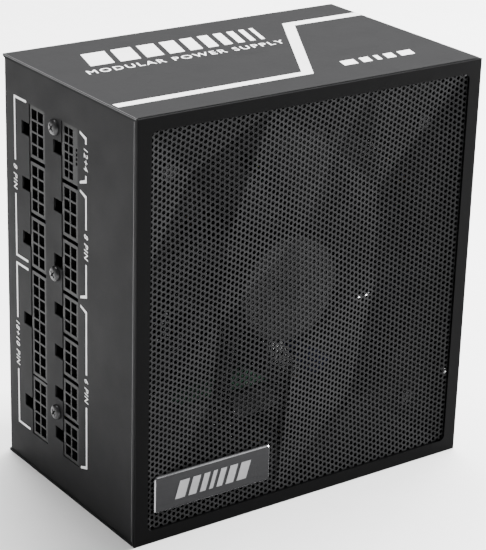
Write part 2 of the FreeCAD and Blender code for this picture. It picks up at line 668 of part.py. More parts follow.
FOLDS = {
    # plan place as shares of the window's width and height from its upper connector-side corner, and share of
    # the relief: border points lie flat, inner points are pressed in
    "top_left": (0.0, 0.0, 0.0), "top_mid": (0.36, 0.0, 0.0), "top_right": (0.68, 0.0, 0.0),
    "corner_right": (1.0, 0.0, 0.0), "side_high": (0.0, 0.33, 0.0), "side_mid": (0.0, 0.66, 0.0),
    "side_low": (0.0, 0.85, 0.0), "base_left": (0.0, 1.0, 0.0), "base_mid": (0.41, 1.0, 0.0),
    "base_right": (1.0, 1.0, 0.0),
    "a": (0.130, 0.125, 0.55), "b": (0.240, 0.285, 0.08), "c": (0.222, 0.508, 0.30),
    "d": (0.213, 0.705, 0.66), "e": (0.482, 0.338, 0.76), "f": (0.588, 0.140, 0.80),
    "g": (0.738, 0.260, 1.00), "h": (0.770, 0.492, 0.92), "i": (0.462, 0.620, 0.06),
    "j": (0.410, 0.840, 0.20), "k": (0.675, 0.790, 0.86),
}
FACETS = (
    "top_left top_mid a", "top_left a side_high", "top_mid b a", "a b side_high",
    "top_mid f e", "top_mid e b", "b e c", "top_mid top_right f", "f top_right g",
    "top_right corner_right g", "f g h", "f h e", "e h i", "e i c", "c i j", "c j d",
    "i h k", "i k base_mid", "i base_mid j", "base_mid k base_right", "g corner_right base_right",
    "g base_right k", "g k h", "side_high b c", "side_high c side_mid", "side_mid c d",
    "side_mid d side_low", "side_low d base_left", "d j base_left", "j base_mid base_left",
)


def fold_points(inset):
    """Fold name to its point on the grille's front, moved back by an inset along Y."""
    left, right = number(f"{LEFT} + frame_rim_side"), number(f"{RIGHT} - frame_rim_side")
    low, high = number("frame_rim_end"), number(f"{TOP} - frame_rim_end")
    front, relief = number(WEB_FRONT) + inset, sheet.mesh_relief
    return {
        name: Vector(left + u * (right - left), front + share * relief, high - v * (high - low))
        for name, (u, v, share) in FOLDS.items()
    }


def triangle(a, b, c):
    """A flat face through three points."""
    return Part.Face(Part.makePolygon([a, b, c, a]))


def make_mesh_grille():
    """Faceted sheet pressed inwards, with a flat lap behind the frame and two holes for the badge's pins."""
    front, back = fold_points(0.0), fold_points(sheet.mesh_sheet)
    faces = []
    for facet in FACETS:
        names = facet.split()
        faces.append(triangle(*(front[n] for n in names)))
        faces.append(triangle(*(back[n] for n in names)))
    edge_names = ["top_left", "top_mid", "top_right", "corner_right", "base_right", "base_mid", "base_left",
                  "side_low", "side_mid", "side_high"]
    for a, b in zip(edge_names, edge_names[1:] + edge_names[:1]):
        faces.append(triangle(front[a], front[b], back[b]))
        faces.append(triangle(front[a], back[b], back[a]))
    folded = Part.Solid(Part.Shell(faces))
    if folded.Volume < 0:
        folded.reverse()
    low_x, high_x = front["top_left"].x, front["corner_right"].x
    low_z, high_z = front["base_left"].z, front["top_left"].z
    lap, start = sheet.mesh_lap, front["top_left"].y
    rim = Part.makeBox(high_x - low_x + 2 * lap, sheet.mesh_sheet, high_z - low_z + 2 * lap,
                       Vector(low_x - lap, start, low_z - lap))
    rim = rim.cut(Part.makeBox(high_x - low_x, sheet.mesh_sheet, high_z - low_z, Vector(low_x, start, low_z)))
    whole = folded.fuse(rim).removeSplitter()
    radius = sheet.badge_pin_radius + number("pin_fit")
    for x, z in badge_pins():
        hole = Part.makeCylinder(radius, 30, Vector(number(x), number(FRONT), number(z)), Vector(0, 1, 0))
        whole = whole.cut(hole)
    shape_node("mesh_grille", whole)


def badge_pins():
    """Formulas of the two pins' places on the fan side."""
    height = "badge_from_base + badge_height / 2"
    first = f"{LEFT} + badge_from_side + badge_pin_inset"
    return [(first, height), (f"{first} + badge_length - 2 * badge_pin_inset", height)]


def make_badge():
    """Small plate with bevelled edges on two pins, and the push nuts behind the mesh."""
    body = new_body("badge_plate")
    face = f"({FRONT} + badge_setback)"
    drawn = sketch(body, "badge_outline", "XZ_Plane", f"-({face} + badge_plate_thickness)")
    low_x = f"({LEFT} + badge_from_side)"
    rectangle(drawn, (low_x, "badge_from_base"),
              (f"{low_x} + badge_length", "badge_from_base + badge_height"))
    feature(body, "Pad", drawn, "badge_plate_thickness")
    ends = [number(low_x), number(f"{low_x} + badge_length")]
    round_edges(body, lambda e: straight(e, "y", x=ends), "badge_plate_thickness")
    front = number(face)
    round_edges(body, lambda e: abs(e.BoundBox.YMin - front) < 1e-4 and e.BoundBox.YLength < 1e-4,
                "badge_plate_thickness / 3", "Chamfer")
    pins = sketch(body, "badge_pins", "XZ_Plane", f"-({face} + badge_plate_thickness)")
    for x, z in badge_pins():
        circle(pins, (x, z), "badge_pin_radius")
    reach = "mesh_relief + mesh_sheet + badge_pin_radius"
    feature(body, "Pad", pins, reach, reverse=True)
    nuts = []
    for i, (x, z) in enumerate(badge_pins()):
        depth = f"{WEB_FRONT} + mesh_sheet + badge_nut_depth"
        outer = rod(f"badge_nut_{i}", (x, depth, z), "2.5 * badge_pin_radius", "mesh_sheet", "y")
        hole = rod(f"badge_nut_hole_{i}", (x, depth, z), "badge_pin_radius + pin_fit", "mesh_sheet", "y")
        nuts.append(cut(f"badge_nut_ring_{i}", outer, [hole]))
    node(group("badge_nut_group", nuts), "badge_push_nuts")


# ---------------------------------------------------------------- fan


def make_fan_bracket():
    """Plate that carries the fan, with flanges welded to the cover's top and bottom plates."""
    body = new_body("fan_bracket")
    half = f"({PANEL_BACK} + 2 * sheet_metal)"
    drawn = sketch(body, "bracket_section", "YZ_Plane", half)
    front, back = f"({FAN_FRONT} - sheet_metal)", FAN_FRONT
    low, high = "sheet_metal", f"({TOP} - sheet_metal)"
    lip = f"({front} - bracket_lip)"
    outline(
        drawn,
        [
            (lip, low),
            (back, low),
            (back, high),
            (lip, high),
            (lip, f"{high} - sheet_metal"),
            (front, f"{high} - sheet_metal"),
            (front, f"{low} + sheet_metal"),
            (lip, f"{low} + sheet_metal"),
        ],
    )
    feature(body, "Pad", drawn, f"-2 * {half}")
    mouth = sketch(body, "bracket_mouth", "XZ_Plane", f"-{front}")
    circle(mouth, ("0", MIDDLE), "fan_bore - fan_tip_gap")
    feature(body, "Pocket", mouth, "sheet_metal")
    holes = sketch(body, "bracket_holes", "XZ_Plane", f"-{front}")
    for x, z in fan_holes():
        circle(holes, (x, z), "screw_radius + sheet_gap")
    feature(body, "Pocket", holes, "sheet_metal")


def fan_holes():
    """Formulas of the fan's four screw places."""
    half = "fan_hole_pitch / 2"
    return [(f"{a}{half}", f"{MIDDLE} {b} {half}") for a in ("-", "") for b in ("-", "+")]


def make_fan_housing():
    """Square housing with a round bore, two flanges, four struts, a motor base and a bearing tube."""
    body = new_body("fan_housing")
    half = "(fan_size / 2)"
    drawn = sketch(body, "fan_block", "XZ_Plane", f"-{FAN_BACK}")
    rectangle(drawn, (f"-{half}", f"{MIDDLE} - {half}"), (half, f"{MIDDLE} + {half}"))
    feature(body, "Pad", drawn, "fan_thickness")
    reach = number(half)
    round_edges(body, lambda e: straight(e, "y", x=[-reach, reach]), "fan_corner")
    # the corners between the two flanges are cut away
    for i, (a, b) in enumerate((("-", "-"), ("-", "+"), ("", "-"), ("", "+"))):
        waist = sketch(body, f"fan_waist_{i}", "XZ_Plane", f"-({FAN_BACK} - fan_flange)")
        inner, outer = f"({a}({half} - fan_waist))", f"({a}({half} + fan_flange))"
        low, high = f"({MIDDLE} {b} ({half} - fan_waist))", f"({MIDDLE} {b} ({half} + fan_flange))"
        outline(waist, [(inner, high), (outer, high), (outer, low)])
        feature(body, "Pocket", waist, "fan_thickness - 2 * fan_flange", reverse=True)
    bore = sketch(body, "fan_bore", "XZ_Plane", f"-{FAN_FRONT}")
    circle(bore, ("0", MIDDLE), "fan_bore")
    feature(body, "Pocket", bore, "fan_thickness")
    holes = sketch(body, "fan_holes", "XZ_Plane", f"-{FAN_FRONT}")
    for x, z in fan_holes():
        circle(holes, (x, z), "fan_hole_radius")
    feature(body, "Pocket", holes, "fan_thickness")
    base = sketch(body, "fan_base", "XZ_Plane", f"-{FAN_BACK}")
    circle(base, ("0", MIDDLE), "hub_radius")
    feature(body, "Pad", base, "motor_base")
    for i, (a, b) in enumerate((("-", "-"), ("-", "+"), ("", "-"), ("", "+"))):
        strut = sketch(body, f"fan_strut_{i}", "XZ_Plane", f"-{FAN_BACK}")
        near, far, wide = "(hub_radius / 2)", "((fan_bore + fan_flange) / sqrt(2))", "(strut_width / sqrt(2))"
        outline(
            strut,
            [
                (f"{a}{near}", f"{MIDDLE} {b} ({near} + {wide})"),
                (f"{a}({near} + {wide})", f"{MIDDLE} {b} {near}"),
                (f"{a}({far} + {wide})", f"{MIDDLE} {b} {far}"),
                (f"{a}{far}", f"{MIDDLE} {b} ({far} + {wide})"),
            ],
        )
        feature(body, "Pad", strut, "motor_base")
    tube = sketch(body, "fan_tube", "XZ_Plane", f"-{ROOT_FACE}")
    circle(tube, ("0", MIDDLE), "bearing_radius + bearing_tube_wall")
    feature(body, "Pad", tube, "tube_length")
    seat = sketch(body, "fan_seat", "XZ_Plane", f"-({ROOT_FACE} - tube_length)")
    circle(seat, ("0", MIDDLE), "bearing_radius")
    feature(body, "Pocket", seat, "tube_length")


def blade(root, tip, start, width, angle):
    """One fan blade: three leaning strips, lofted from the hub to the tip."""
    wires = []
    for share in (0.0, 0.5, 1.0):
        radius = root + share * (tip - root)
        lean = math.radians(sheet.blade_angle_root + share * (sheet.blade_angle_tip - sheet.blade_angle_root))
        chord = width / math.sin(lean)
        thick = sheet.blade_thick
        sweep = math.radians(sheet.blade_sweep) * share
        across, along = chord * math.cos(lean) / 2, width / 2
        corners = []
        for s, t in ((-1, -1), (1, -1), (1, 1), (-1, 1)):
            side = s * across + t * thick / 2 * math.sin(lean)
            depth = s * along - t * thick / 2 * math.cos(lean)
            corners.append(Vector(radius * math.cos(sweep) - side * math.sin(sweep), depth,
                                  radius * math.sin(sweep) + side * math.cos(sweep)))
        wires.append(Part.makePolygon(corners + corners[:1]))
    made = Part.makeLoft(wires, True, False)
    made.translate(Vector(0, start + width / 2, 0))
    made.rotate(Vector(), Vector(0, 1, 0), angle)
    return made


def make_rotor():
    """Hub cup with its blades, cut to a round outline that clears the bore."""
    front = number(HUB_FRONT)
    outer, depth, wall = sheet.hub_radius, sheet.hub_depth, sheet.hub_wall
    along = Vector(0, 1, 0)
    cup = Part.makeCylinder(outer, depth, Vector(0, front, 0), along)
    front_edge = [e for e in cup.Edges if abs(e.BoundBox.YMax - front) < 1e-6]
    cup = cup.makeFillet(wall, front_edge)
    hollow = Part.makeCylinder(outer - wall, depth - wall, Vector(0, front + wall, 0), along)
    count, tip = int(sheet.fan_blade_count), sheet.fan_bore - sheet.fan_tip_gap
    width = sheet.blade_width
    start = front + (depth - width) / 2 + wall / 2
    blades = [
        blade(outer - wall / 2, tip + 1, start, width, 360 / count * i + sheet.blade_phase)
        for i in range(count)
    ]
    ring = Part.makeCylinder(tip, depth + 4 * wall, Vector(0, front - wall, 0), along)
    bladed = cup.fuse([b.common(ring) for b in blades]).cut(hollow)
    seat = Vector(0, number(SHAFT_FRONT), 0)
    boss = Part.makeCylinder(sheet.shaft_radius + wall, 2 * wall, seat, along)
    socket = Part.makeCylinder(sheet.shaft_radius, 2 * wall, seat, along)
    bladed = bladed.fuse(boss).cut(socket)
    shape_node("fan_rotor", bladed, ("0", "0", MIDDLE))


def fan_ring(name, start, inner, outer, length):
    """A ring around the fan's axis, between two radii."""
    body = rod(name + "_outer", ("0", start, MIDDLE), outer, length, "y")
    hole = rod(name + "_inner", ("0", start, MIDDLE), inner, length, "y")
    return cut(name + "_ring", body, [hole])


def make_fan_motor():
    """Shaft, bearing, rotor ring and magnet, and the stator with its coils and circuit board."""
    tube_front = f"({ROOT_FACE} - tube_length)"
    node(rod("shaft_rod", ("0", SHAFT_FRONT, MIDDLE), "shaft_radius", f"{ROOT_FACE} - {SHAFT_FRONT}", "y"),
         "fan_shaft")
    node(fan_ring("bearing", tube_front, "shaft_radius + shaft_clearance", "bearing_radius", "tube_length"),
         "fan_bearing")
    yoke_outer = "(hub_radius - hub_wall)"
    yoke_inner = f"({yoke_outer} - yoke_wall)"
    ring_start, ring_length = f"({HUB_FRONT} + hub_wall)", "(hub_depth - 3 * hub_wall)"
    node(fan_ring("yoke", ring_start, yoke_inner, yoke_outer, ring_length), "rotor_yoke")
    magnet_inner = f"({yoke_inner} - magnet_wall)"
    node(fan_ring("magnet", ring_start, magnet_inner, yoke_inner, ring_length), "rotor_magnet")
    pole = f"({magnet_inner} - air_gap)"
    core_start = f"({ROOT_FACE} - motor_board_gap - stator_height)"
    tube = "(bearing_radius + bearing_tube_wall)"
    hub = fan_ring("stator_hub", core_start, tube, f"{tube} + stator_hub_wall", "stator_height")
    arm_length, coil_length = f"({pole} - {tube} - stator_root)", f"({pole} - {tube} - 3 * stator_shoe)"
    shoe_width, coil_out = f"(stator_shoe_share * {pole})", f"({tube} + stator_hub_wall)"
    arms, coils = [], []
    for i in range(4):
        parts = [
            box(f"stator_{part}_{i}", ("0", "0", "0"), (length, height, width))
            for part, length, height, width in (
                ("arm", arm_length, "stator_height", "stator_arm"),
                ("shoe", "stator_shoe", "stator_height", shoe_width),
                ("coil", coil_length, "stator_height + 2 * coil_rise", "coil_width"),
                ("slot", coil_length, "stator_height", "stator_arm"),
            )
        ]
        arm, shoe, coil, slot = parts
        for piece, out, side, drop in (
            (arm, f"({tube} + stator_root)", "(stator_arm / 2)", "0"),
            (shoe, f"({pole} - stator_shoe - stator_root)", f"({shoe_width} / 2)", "0"),
            (coil, coil_out, "(coil_width / 2)", "-coil_rise"),
            (slot, coil_out, "(stator_arm / 2)", "0"),
        ):
            angle = math.radians(90 * i + 45)
            c, s = round(math.cos(angle), 6), round(math.sin(angle), 6)
            piece.Placement = Placement(Vector(), Rotation(Vector(0, 1, 0), 90 * i + 45))
            bind(piece, "Placement.Base.x", f"{out} * ({c}) - {side} * ({s})")
            bind(piece, "Placement.Base.y", f"{core_start} + ({drop})")
            bind(piece, "Placement.Base.z", f"{MIDDLE} - {out} * ({s}) - {side} * ({c})")
        arms += [arm, shoe]
        coils.append(cut(f"coil_{i}", coil, [slot]))
    node(fuse("stator", [hub] + arms), "fan_stator")
    node(group("stator_coil_group", coils), "fan_coils")
    board_start = f"({ROOT_FACE} - motor_board)"
    node(fan_ring("motor_board", board_start, tube, f"{pole} - stator_root", "motor_board"),
         "fan_circuit_board")
    screws = [
        screw(f"fan_screw_{i}", (x, f"{FAN_FRONT} - sheet_metal", z), "-y", "fan_flange + screw_length")
        for i, (x, z) in enumerate(fan_holes())
    ]
    node(group("fan_screw_group", screws), "fan_screws")


# ---------------------------------------------------------------- modular sockets


def block(name, low, high):
    """A block between two corners, each given as three formulas."""
    return box(name, low, [f"({b}) - ({a})" for a, b in zip(low, high)])


def make_sockets():
    """Twelve keyed housings with open cells, their contact pins, and the board that they stand on."""
    pins = []
    for label, column, circuits, pitch, top in socket_stacks():
        fine = pitch == "fine_pitch"
        cell, pin = ("fine_cell", "fine_pin_width") if fine else ("circuit_cell", "pin_width")
        low = f"({top} - {circuits} * {pitch} - 2 * socket_wall)"
        near, far = (f"({column} {sign} socket_width / 2)" for sign in "-+")
        housing = block(f"{label}_block", (SOCKET_FACE, near, low), (SOCKET_BOARD, far, top))
        floor = f"({SOCKET_FACE} + cell_depth)"
        rows_at = f"({column} + sense_pitch / 2)" if fine else column
        tools = []
        for r, sign in enumerate(("-", "+")):
            row_y = f"({rows_at} {sign} {pitch} / 2)"
            for i in range(circuits):
                middle = f"({low} + socket_wall + ({i} + 0.5) * {pitch})"
                name = f"{label}_{r}{i}"
                tools.append(
                    block(f"{name}_cell", (SOCKET_FACE, f"{row_y} - {cell} / 2", f"{middle} - {cell} / 2"),
                          (floor, f"{row_y} + {cell} / 2", f"{middle} + {cell} / 2"))
                )
                hole = f"({pin} / 2 + pin_fit)"
                tools.append(
                    block(f"{name}_hole", (floor, f"{row_y} - {hole}", f"{middle} - {hole}"),
                          (SOCKET_BOARD, f"{row_y} + {hole}", f"{middle} + {hole}"))
                )
                half = f"({pin} / 2)"
                pins.append(
                    block(f"{name}_pin", (f"{floor} - pin_rise", f"{row_y} - {half}", f"{middle} - {half}"),
                          (SOCKET_BOARD, f"{row_y} + {half}", f"{middle} + {half}"))
                )
        if fine:
            row_y = f"({near} + socket_wall / 2 + sense_cell / 2)"
            for i in range(4):
                middle = f"({low} + {circuits} * {pitch} / 2 + socket_wall + ({i} - 1.5) * sense_pitch)"
                half = "(sense_cell / 2)"
                tools.append(
                    block(f"{label}_sense_{i}", (SOCKET_FACE, f"{row_y} - {half}", f"{middle} - {half}"),
                          (f"{floor} - sense_floor", f"{row_y} + {half}", f"{middle} + {half}"))
                )
        middle = f"({low} + {circuits} * {pitch} / 2 + socket_wall)"
        ramp = doc.addObject("Part::Wedge", f"{label}_ramp")
        for path, formula in (
            ("Xmin", "0"), ("Xmax", "latch_length"), ("Ymin", "0"), ("Ymax", "latch_ramp"),
            ("Zmin", "0"), ("Zmax", "latch_width_inside"), ("X2min", "2 * latch_ramp"),
            ("X2max", "latch_length"), ("Z2min", "0"), ("Z2max", "latch_width_inside"),
        ):
            bind(ramp, path, formula)
        place(ramp, (f"{SOCKET_FACE} + 2 * latch_ramp", far, f"{middle} - latch_width_inside / 2"))
        node(fuse(f"{label}_whole", [cut(f"{label}_cut", housing, tools), ramp]), label)
    node(group("socket_pin_group", pins), "socket_pins")


def make_boards():
    """Main board with its screws, standoffs and film, and the socket board with its posts and bus bars."""
    low, high, left, right = BOARD_LOW, BOARD_HIGH, SOCKET_BOARD, BOARD_RIGHT
    inset = "board_screw_inset"
    places = [(x, z) for x in (f"{left} + {inset}", f"{right} - {inset}")
              for z in (f"{low} + {inset}", f"{high} - {inset}")]
    board = block("board_sheet", (left, BOARD_FACE, low), (right, BOARD_BACK, high))
    holes = [rod(f"board_hole_{i}", (x, BOARD_FACE, z), "screw_radius + sheet_gap", "board_thickness", "y")
             for i, (x, z) in enumerate(places)]
    node(cut("board_drilled", board, holes), "main_board")
    film_low = "(tab_reach + film_gap)"
    film = block("film_sheet", (left, f"{BACK_INSIDE} - film", film_low),
                 (right, BACK_INSIDE, f"{TOP} - {film_low}"))
    gaps = [rod(f"film_hole_{i}", (x, f"{BACK_INSIDE} - film", z), "standoff_radius + sheet_gap", "film", "y")
            for i, (x, z) in enumerate(places)]
    node(cut("film_punched", film, gaps), "insulation_film")
    posts = []
    for i, (x, z) in enumerate(places):
        post = rod(f"standoff_{i}", (x, BOARD_BACK, z), "standoff_radius", "board_clearance", "y")
        bore = rod(f"standoff_bore_{i}", (x, BOARD_BACK, z), "screw_radius", "screw_length", "y")
        posts.append(cut(f"standoff_drilled_{i}", post, [bore]))
    node(group("standoff_group", posts), "board_standoffs")
    screws = [screw(f"board_screw_{i}", (x, BOARD_FACE, z), "-y") for i, (x, z) in enumerate(places)]
    node(group("board_screw_group", screws), "board_screws")
    node(block("socket_board_sheet", (SOCKET_BOARD, f"{FAN_BACK} + socket_board_gap", low),
               (SOCKET_BOARD_BACK, BOARD_FACE, high)), "socket_board")
    posts = []
    for i, height in enumerate(panel_screw_heights()):
        post = rod(f"post_{i}", (PANEL_BACK, PANEL_SCREW_Y, height), "post_radius",
                   f"{SOCKET_BOARD} - {PANEL_BACK}", "x")
        bore = rod(f"post_bore_{i}", (PANEL_BACK, PANEL_SCREW_Y, height), "screw_radius",
                   "screw_length", "x")
        posts.append(cut(f"post_drilled_{i}", post, [bore]))
    node(group("post_group", posts), "socket_board_posts")
    bars = []
    # the bars share the length between the board's corner screws
    count = int(sheet.bus_bar_count)
    first, last = f"({low} + 2 * {inset})", f"({high} - 2 * {inset})"
    for i in range(count):
        z = f"({first} + ({i} + 0.5) * ({last} - {first}) / {count})"
        near, far = f"{z} - bus_bar_width / 2", f"{z} + bus_bar_width / 2"
        foot = block(f"bar_foot_{i}", (SOCKET_BOARD_BACK, f"{BOARD_FACE} - bus_bar", near),
                     (f"{SOCKET_BOARD_BACK} + bus_bar_reach", BOARD_FACE, far))
        wall = block(f"bar_wall_{i}", (SOCKET_BOARD_BACK, f"{BOARD_FACE} - bus_bar_reach", near),
                     (f"{SOCKET_BOARD_BACK} + bus_bar", BOARD_FACE, far))
        bars.append(fuse(f"bar_{i}", [foot, wall]))
    node(group("bar_group", bars), "bus_bars")


# ---------------------------------------------------------------- rear panel, mains inlet and switch


def rear_keep_outs():
    """Areas of the rear panel without honeycomb, as Y and Z ranges in millimetres."""
    margin = sheet.vent_web + sheet.vent_hole / 2
    areas = [
        (sheet.inlet_y - sheet.inlet_flange_width / 2, sheet.inlet_y + sheet.inlet_flange_width / 2,
         sheet.inlet_z - sheet.inlet_flange_height / 2, sheet.inlet_z + sheet.inlet_flange_height / 2),
        (sheet.switch_y - sheet.switch_width / 2, sheet.switch_y + sheet.switch_width / 2,
         sheet.switch_z - sheet.switch_height / 2, sheet.switch_z + sheet.switch_height / 2),
    ]
    for y, z in mount_holes():
        y, z, r = number(y), number(z), sheet.mount_radius + sheet.mount_land
        areas.append((y - r, y + r, z - r, z + r))
    return [(a - margin, b + margin, c - margin, d + margin) for a, b, c, d in areas]


def mount_holes():
    """Formulas of the four threaded holes' places on the rear panel."""
    low_y, high_y = f"({BACK} - mount_edge)", f"({BACK} - mount_edge - mount_low_y)"
    high_z = f"({TOP} - mount_edge)"
    return [
        (low_y, high_z),
        (high_y, high_z),
        (high_y, f"{high_z} - mount_side_z"),
        (f"{low_y} - mount_offset_y", f"{high_z} - mount_fourth_z"),
    ]


def make_rear_panel():
    """Plate with a honeycomb vent, the inlet and switch cut-outs and the four threaded mounting holes."""
    inner, thick = number(REAR_BACK), sheet.sheet_metal
    low_y, high_y = number(f"{WEB_BACK} + sheet_gap"), number(BACK)
    low_z, high_z = number(LOW_INSIDE), number(HIGH_INSIDE)
    plate = Part.makeBox(thick, high_y - low_y, high_z - low_z, Vector(inner, low_y, low_z))
    tools = []
    radius = sheet.vent_hole / math.sqrt(3)
    pitch = sheet.vent_hole + sheet.vent_web
    row_pitch = pitch * math.sqrt(3) / 2
    keep = rear_keep_outs()
    edge = sheet.vent_edge + sheet.vent_hole / 2
    start_y, stop_y = low_y + edge, high_y - edge
    start_z, stop_z = low_z + edge, high_z - edge
    rows = int((stop_y - start_y) / row_pitch) + 1
    columns = int((stop_z - start_z) / pitch) + 1
    off_y = (stop_y - start_y - (rows - 1) * row_pitch) / 2
    off_z = (stop_z - start_z - (columns - 0.5) * pitch) / 2
    for row in range(rows):
        for column in range(columns):
            y = start_y + off_y + row * row_pitch
            z = start_z + off_z + (column + 0.5 * (row % 2)) * pitch
            if z > stop_z or any(a < y < b and c < z < d for a, b, c, d in keep):
                continue
            turns = [math.radians(60 * k) for k in range(6)]
            points = [Vector(inner, y + radius * math.cos(t), z + radius * math.sin(t)) for t in turns]
            tools.append(Part.Face(Part.makePolygon(points + points[:1])).extrude(Vector(thick, 0, 0)))
    bosses = []
    for y, z in mount_holes():
        spot = Vector(inner - sheet.mount_boss, number(y), number(z))
        collar = sheet.mount_radius + sheet.mount_wall
        bosses.append(Part.makeCylinder(collar, sheet.mount_boss, spot, Vector(1, 0, 0)))
        tools.append(Part.makeCylinder(sheet.mount_radius, thick + sheet.mount_boss, spot, Vector(1, 0, 0)))
    fit = sheet.socket_fit
    for y, z, wide, high in (
        (sheet.inlet_y, sheet.inlet_z, sheet.inlet_mouth_width + 2 * sheet.inlet_wall,
         sheet.inlet_mouth_height + 2 * sheet.inlet_wall),
        (sheet.switch_y, sheet.switch_z, sheet.switch_width - 2 * sheet.switch_bezel,
         sheet.switch_height - 2 * sheet.switch_bezel),
    ):
        tools.append(Part.makeBox(thick, wide + 2 * fit, high + 2 * fit,
                                  Vector(inner, y - wide / 2 - fit, z - high / 2 - fit)))
    for sign in (-1, 1):
        spot = Vector(inner, sheet.inlet_y, sheet.inlet_z + sign * sheet.inlet_screw_pitch / 2)
        tools.append(Part.makeCylinder(sheet.screw_radius, thick, spot, Vector(1, 0, 0)))
    shape = plate.fuse(bosses).cut(Part.makeCompound(tools))
    shape_node("rear_panel", shape)


def around(name, low_x, high_x, half_y, half_z):
    """A block centred on the inlet's axis, from two X formulas and its half sizes."""
    return block(name, (low_x, f"inlet_y - {half_y}", f"inlet_z - {half_z}"),
                 (high_x, f"inlet_y + {half_y}", f"inlet_z + {half_z}"))


def make_inlet():
    """Three-blade mains inlet: flange outside the panel, body inside it, blades and flange screws."""
    half_y, half_z = "(inlet_mouth_width / 2)", "(inlet_mouth_height / 2)"
    outside = f"({REAR_FACE} + inlet_flange_plate)"
    floor = f"({outside} - inlet_depth)"
    back = f"({floor} - inlet_wall)"
    flange = around("inlet_flange", REAR_FACE, outside, "inlet_flange_width / 2", "inlet_flange_height / 2")
    case = around("inlet_case", back, outside, f"({half_y} + inlet_wall)", f"({half_z} + inlet_wall)")
    mouth = around("inlet_mouth", floor, outside, half_y, half_z)
    bevels = []
    for i, sign in enumerate((-1, 1)):
        bevel = box(f"inlet_bevel_{i}", ("0", "0", "0"), ("inlet_depth", "inlet_bevel", "inlet_bevel"))
        bevel.Placement = Placement(Vector(), Rotation(Vector(1, 0, 0), 45))
        bind(bevel, "Placement.Base.x", floor)
        bind(bevel, "Placement.Base.y", f"inlet_y + {half_y}")
        bind(bevel, "Placement.Base.z", f"inlet_z + {sign} * {half_z} - inlet_bevel * sqrt(2) / 2")
        bevels.append(bevel)
    cavity = cut("inlet_cavity", mouth, bevels)
    tools, blades = [cavity], []
    line_y = "(inlet_y - earth_offset / 2)"
    live, neutral = (line_y, "inlet_z - mains_blade_pitch"), (line_y, "inlet_z + mains_blade_pitch")
    earth = (f"({line_y} + earth_offset)", "inlet_z")
    half_w, half_t = "mains_blade_width / 2", "mains_blade_plate / 2"
    wide, thin = f"({half_w} + pin_fit)", f"({half_t} + pin_fit)"
    for i, (y, z) in enumerate((live, neutral, earth)):
        low, high = (f"{y} - {half_w}", f"{z} - {half_t}"), (f"{y} + {half_w}", f"{z} + {half_t}")
        blades.append(block(f"inlet_blade_{i}", (f"{back} - tag_length", *low),
                            (f"{floor} + mains_blade_rise", *high)))
        tools.append(block(f"inlet_slot_{i}", (back, f"{y} - {wide}", f"{z} - {thin}"),
                           (floor, f"{y} + {wide}", f"{z} + {thin}")))
    for i, sign in enumerate((-1, 1)):
        z = f"inlet_z + {sign} * inlet_screw_pitch / 2"
        tools.append(rod(f"inlet_hole_{i}", (REAR_FACE, "inlet_y", z), "screw_radius + sheet_gap",
                         "inlet_flange_plate", "x"))
    node(cut("inlet_body", fuse("inlet_block", [flange, case]), tools), "mains_inlet")
    node(group("inlet_blade_group", blades), "inlet_blades")


def make_switch():
    """Rocker switch: bezel and housing, rocker on two pivot studs, and the terminals behind."""
    outside = f"({REAR_FACE} + switch_bezel)"
    half_y, half_z = "(switch_width / 2)", "(switch_height / 2)"
    back = f"({REAR_FACE} - switch_depth)"
    bezel = block("switch_bezel_block", (REAR_FACE, f"switch_y - {half_y}", f"switch_z - {half_z}"),
                  (outside, f"switch_y + {half_y}", f"switch_z + {half_z}"))
    case_y, case_z = f"({half_y} - switch_bezel)", f"({half_z} - switch_bezel)"
    case = block("switch_case", (back, f"switch_y - {case_y}", f"switch_z - {case_z}"),
                 (outside, f"switch_y + {case_y}", f"switch_z + {case_z}"))
    inner_y, inner_z = f"({half_y} - switch_bezel - switch_wall)", f"({half_z} - switch_bezel - switch_wall)"
    well = block("switch_well", (f"{back} + switch_wall", f"switch_y - {inner_y}", f"switch_z - {inner_z}"),
                 (outside, f"switch_y + {inner_y}", f"switch_z + {inner_z}"))
    pivot_x = f"({REAR_FACE} - rocker_pivot_depth)"
    stud = f"({inner_y} + pivot_depth)"
    bore = rod("switch_pivot_bore", (pivot_x, f"switch_y - {stud} - pin_fit", "switch_z"),
               "pivot_radius + pivot_clearance", f"2 * ({stud} + pin_fit)", "y")
    tags, slots = [], []
    for i, sign in enumerate("-+"):
        middle = f"(switch_z {sign} tag_from_middle)"
        low = ("switch_y - mains_blade_width / 2", f"{middle} - tag_plate / 2")
        high = (f"{back} + switch_wall / 2", "switch_y + mains_blade_width / 2", f"{middle} + tag_plate / 2")
        tags.append(block(f"switch_tag_{i}", (f"{back} - tag_length", *low), high))
        slots.append(block(f"switch_slot_{i}", (back, *low), high))
    node(cut("switch_hollow", fuse("switch_shell", [bezel, case]), [well, bore] + slots), "switch_housing")
    node(group("switch_tag_group", tags), "switch_terminals")
    body = new_body("switch_rocker")
    wide = f"({inner_y} - rocker_gap)"
    drawn = sketch(body, "rocker_side", "XZ_Plane", f"-{wide}")
    reach = f"({inner_z} - rocker_gap - rocker_swing)"
    crest, belly = "(rocker_pivot_depth + rocker_rise)", "rocker_belly"
    outline(
        drawn,
        [
            (f"-{belly}", f"-{belly}"),
            ("-rocker_heel", f"-{reach}"),
            (crest, f"-{reach}"),
            (f"{crest} - rocker_dish", "0"),
            (crest, reach),
            ("-rocker_heel", reach),
            (f"-{belly}", belly),
        ],
    )
    feature(body, "Pad", drawn, f"2 * {wide}")
    studs = sketch(body, "rocker_studs", "XZ_Plane", f"-{stud}")
    circle(studs, ("0", "0"), "pivot_radius")
    feature(body, "Pad", studs, f"2 * {stud}")
    body.Placement = Placement(Vector(), Rotation(Vector(0, 1, 0), sheet.rocker_tilt))
    bind(body, "Placement.Rotation.Angle", "rocker_tilt")
    for axis, formula in zip("xyz", (pivot_x, "switch_y", "switch_z")):
        bind(body, f"Placement.Base.{axis}", formula)


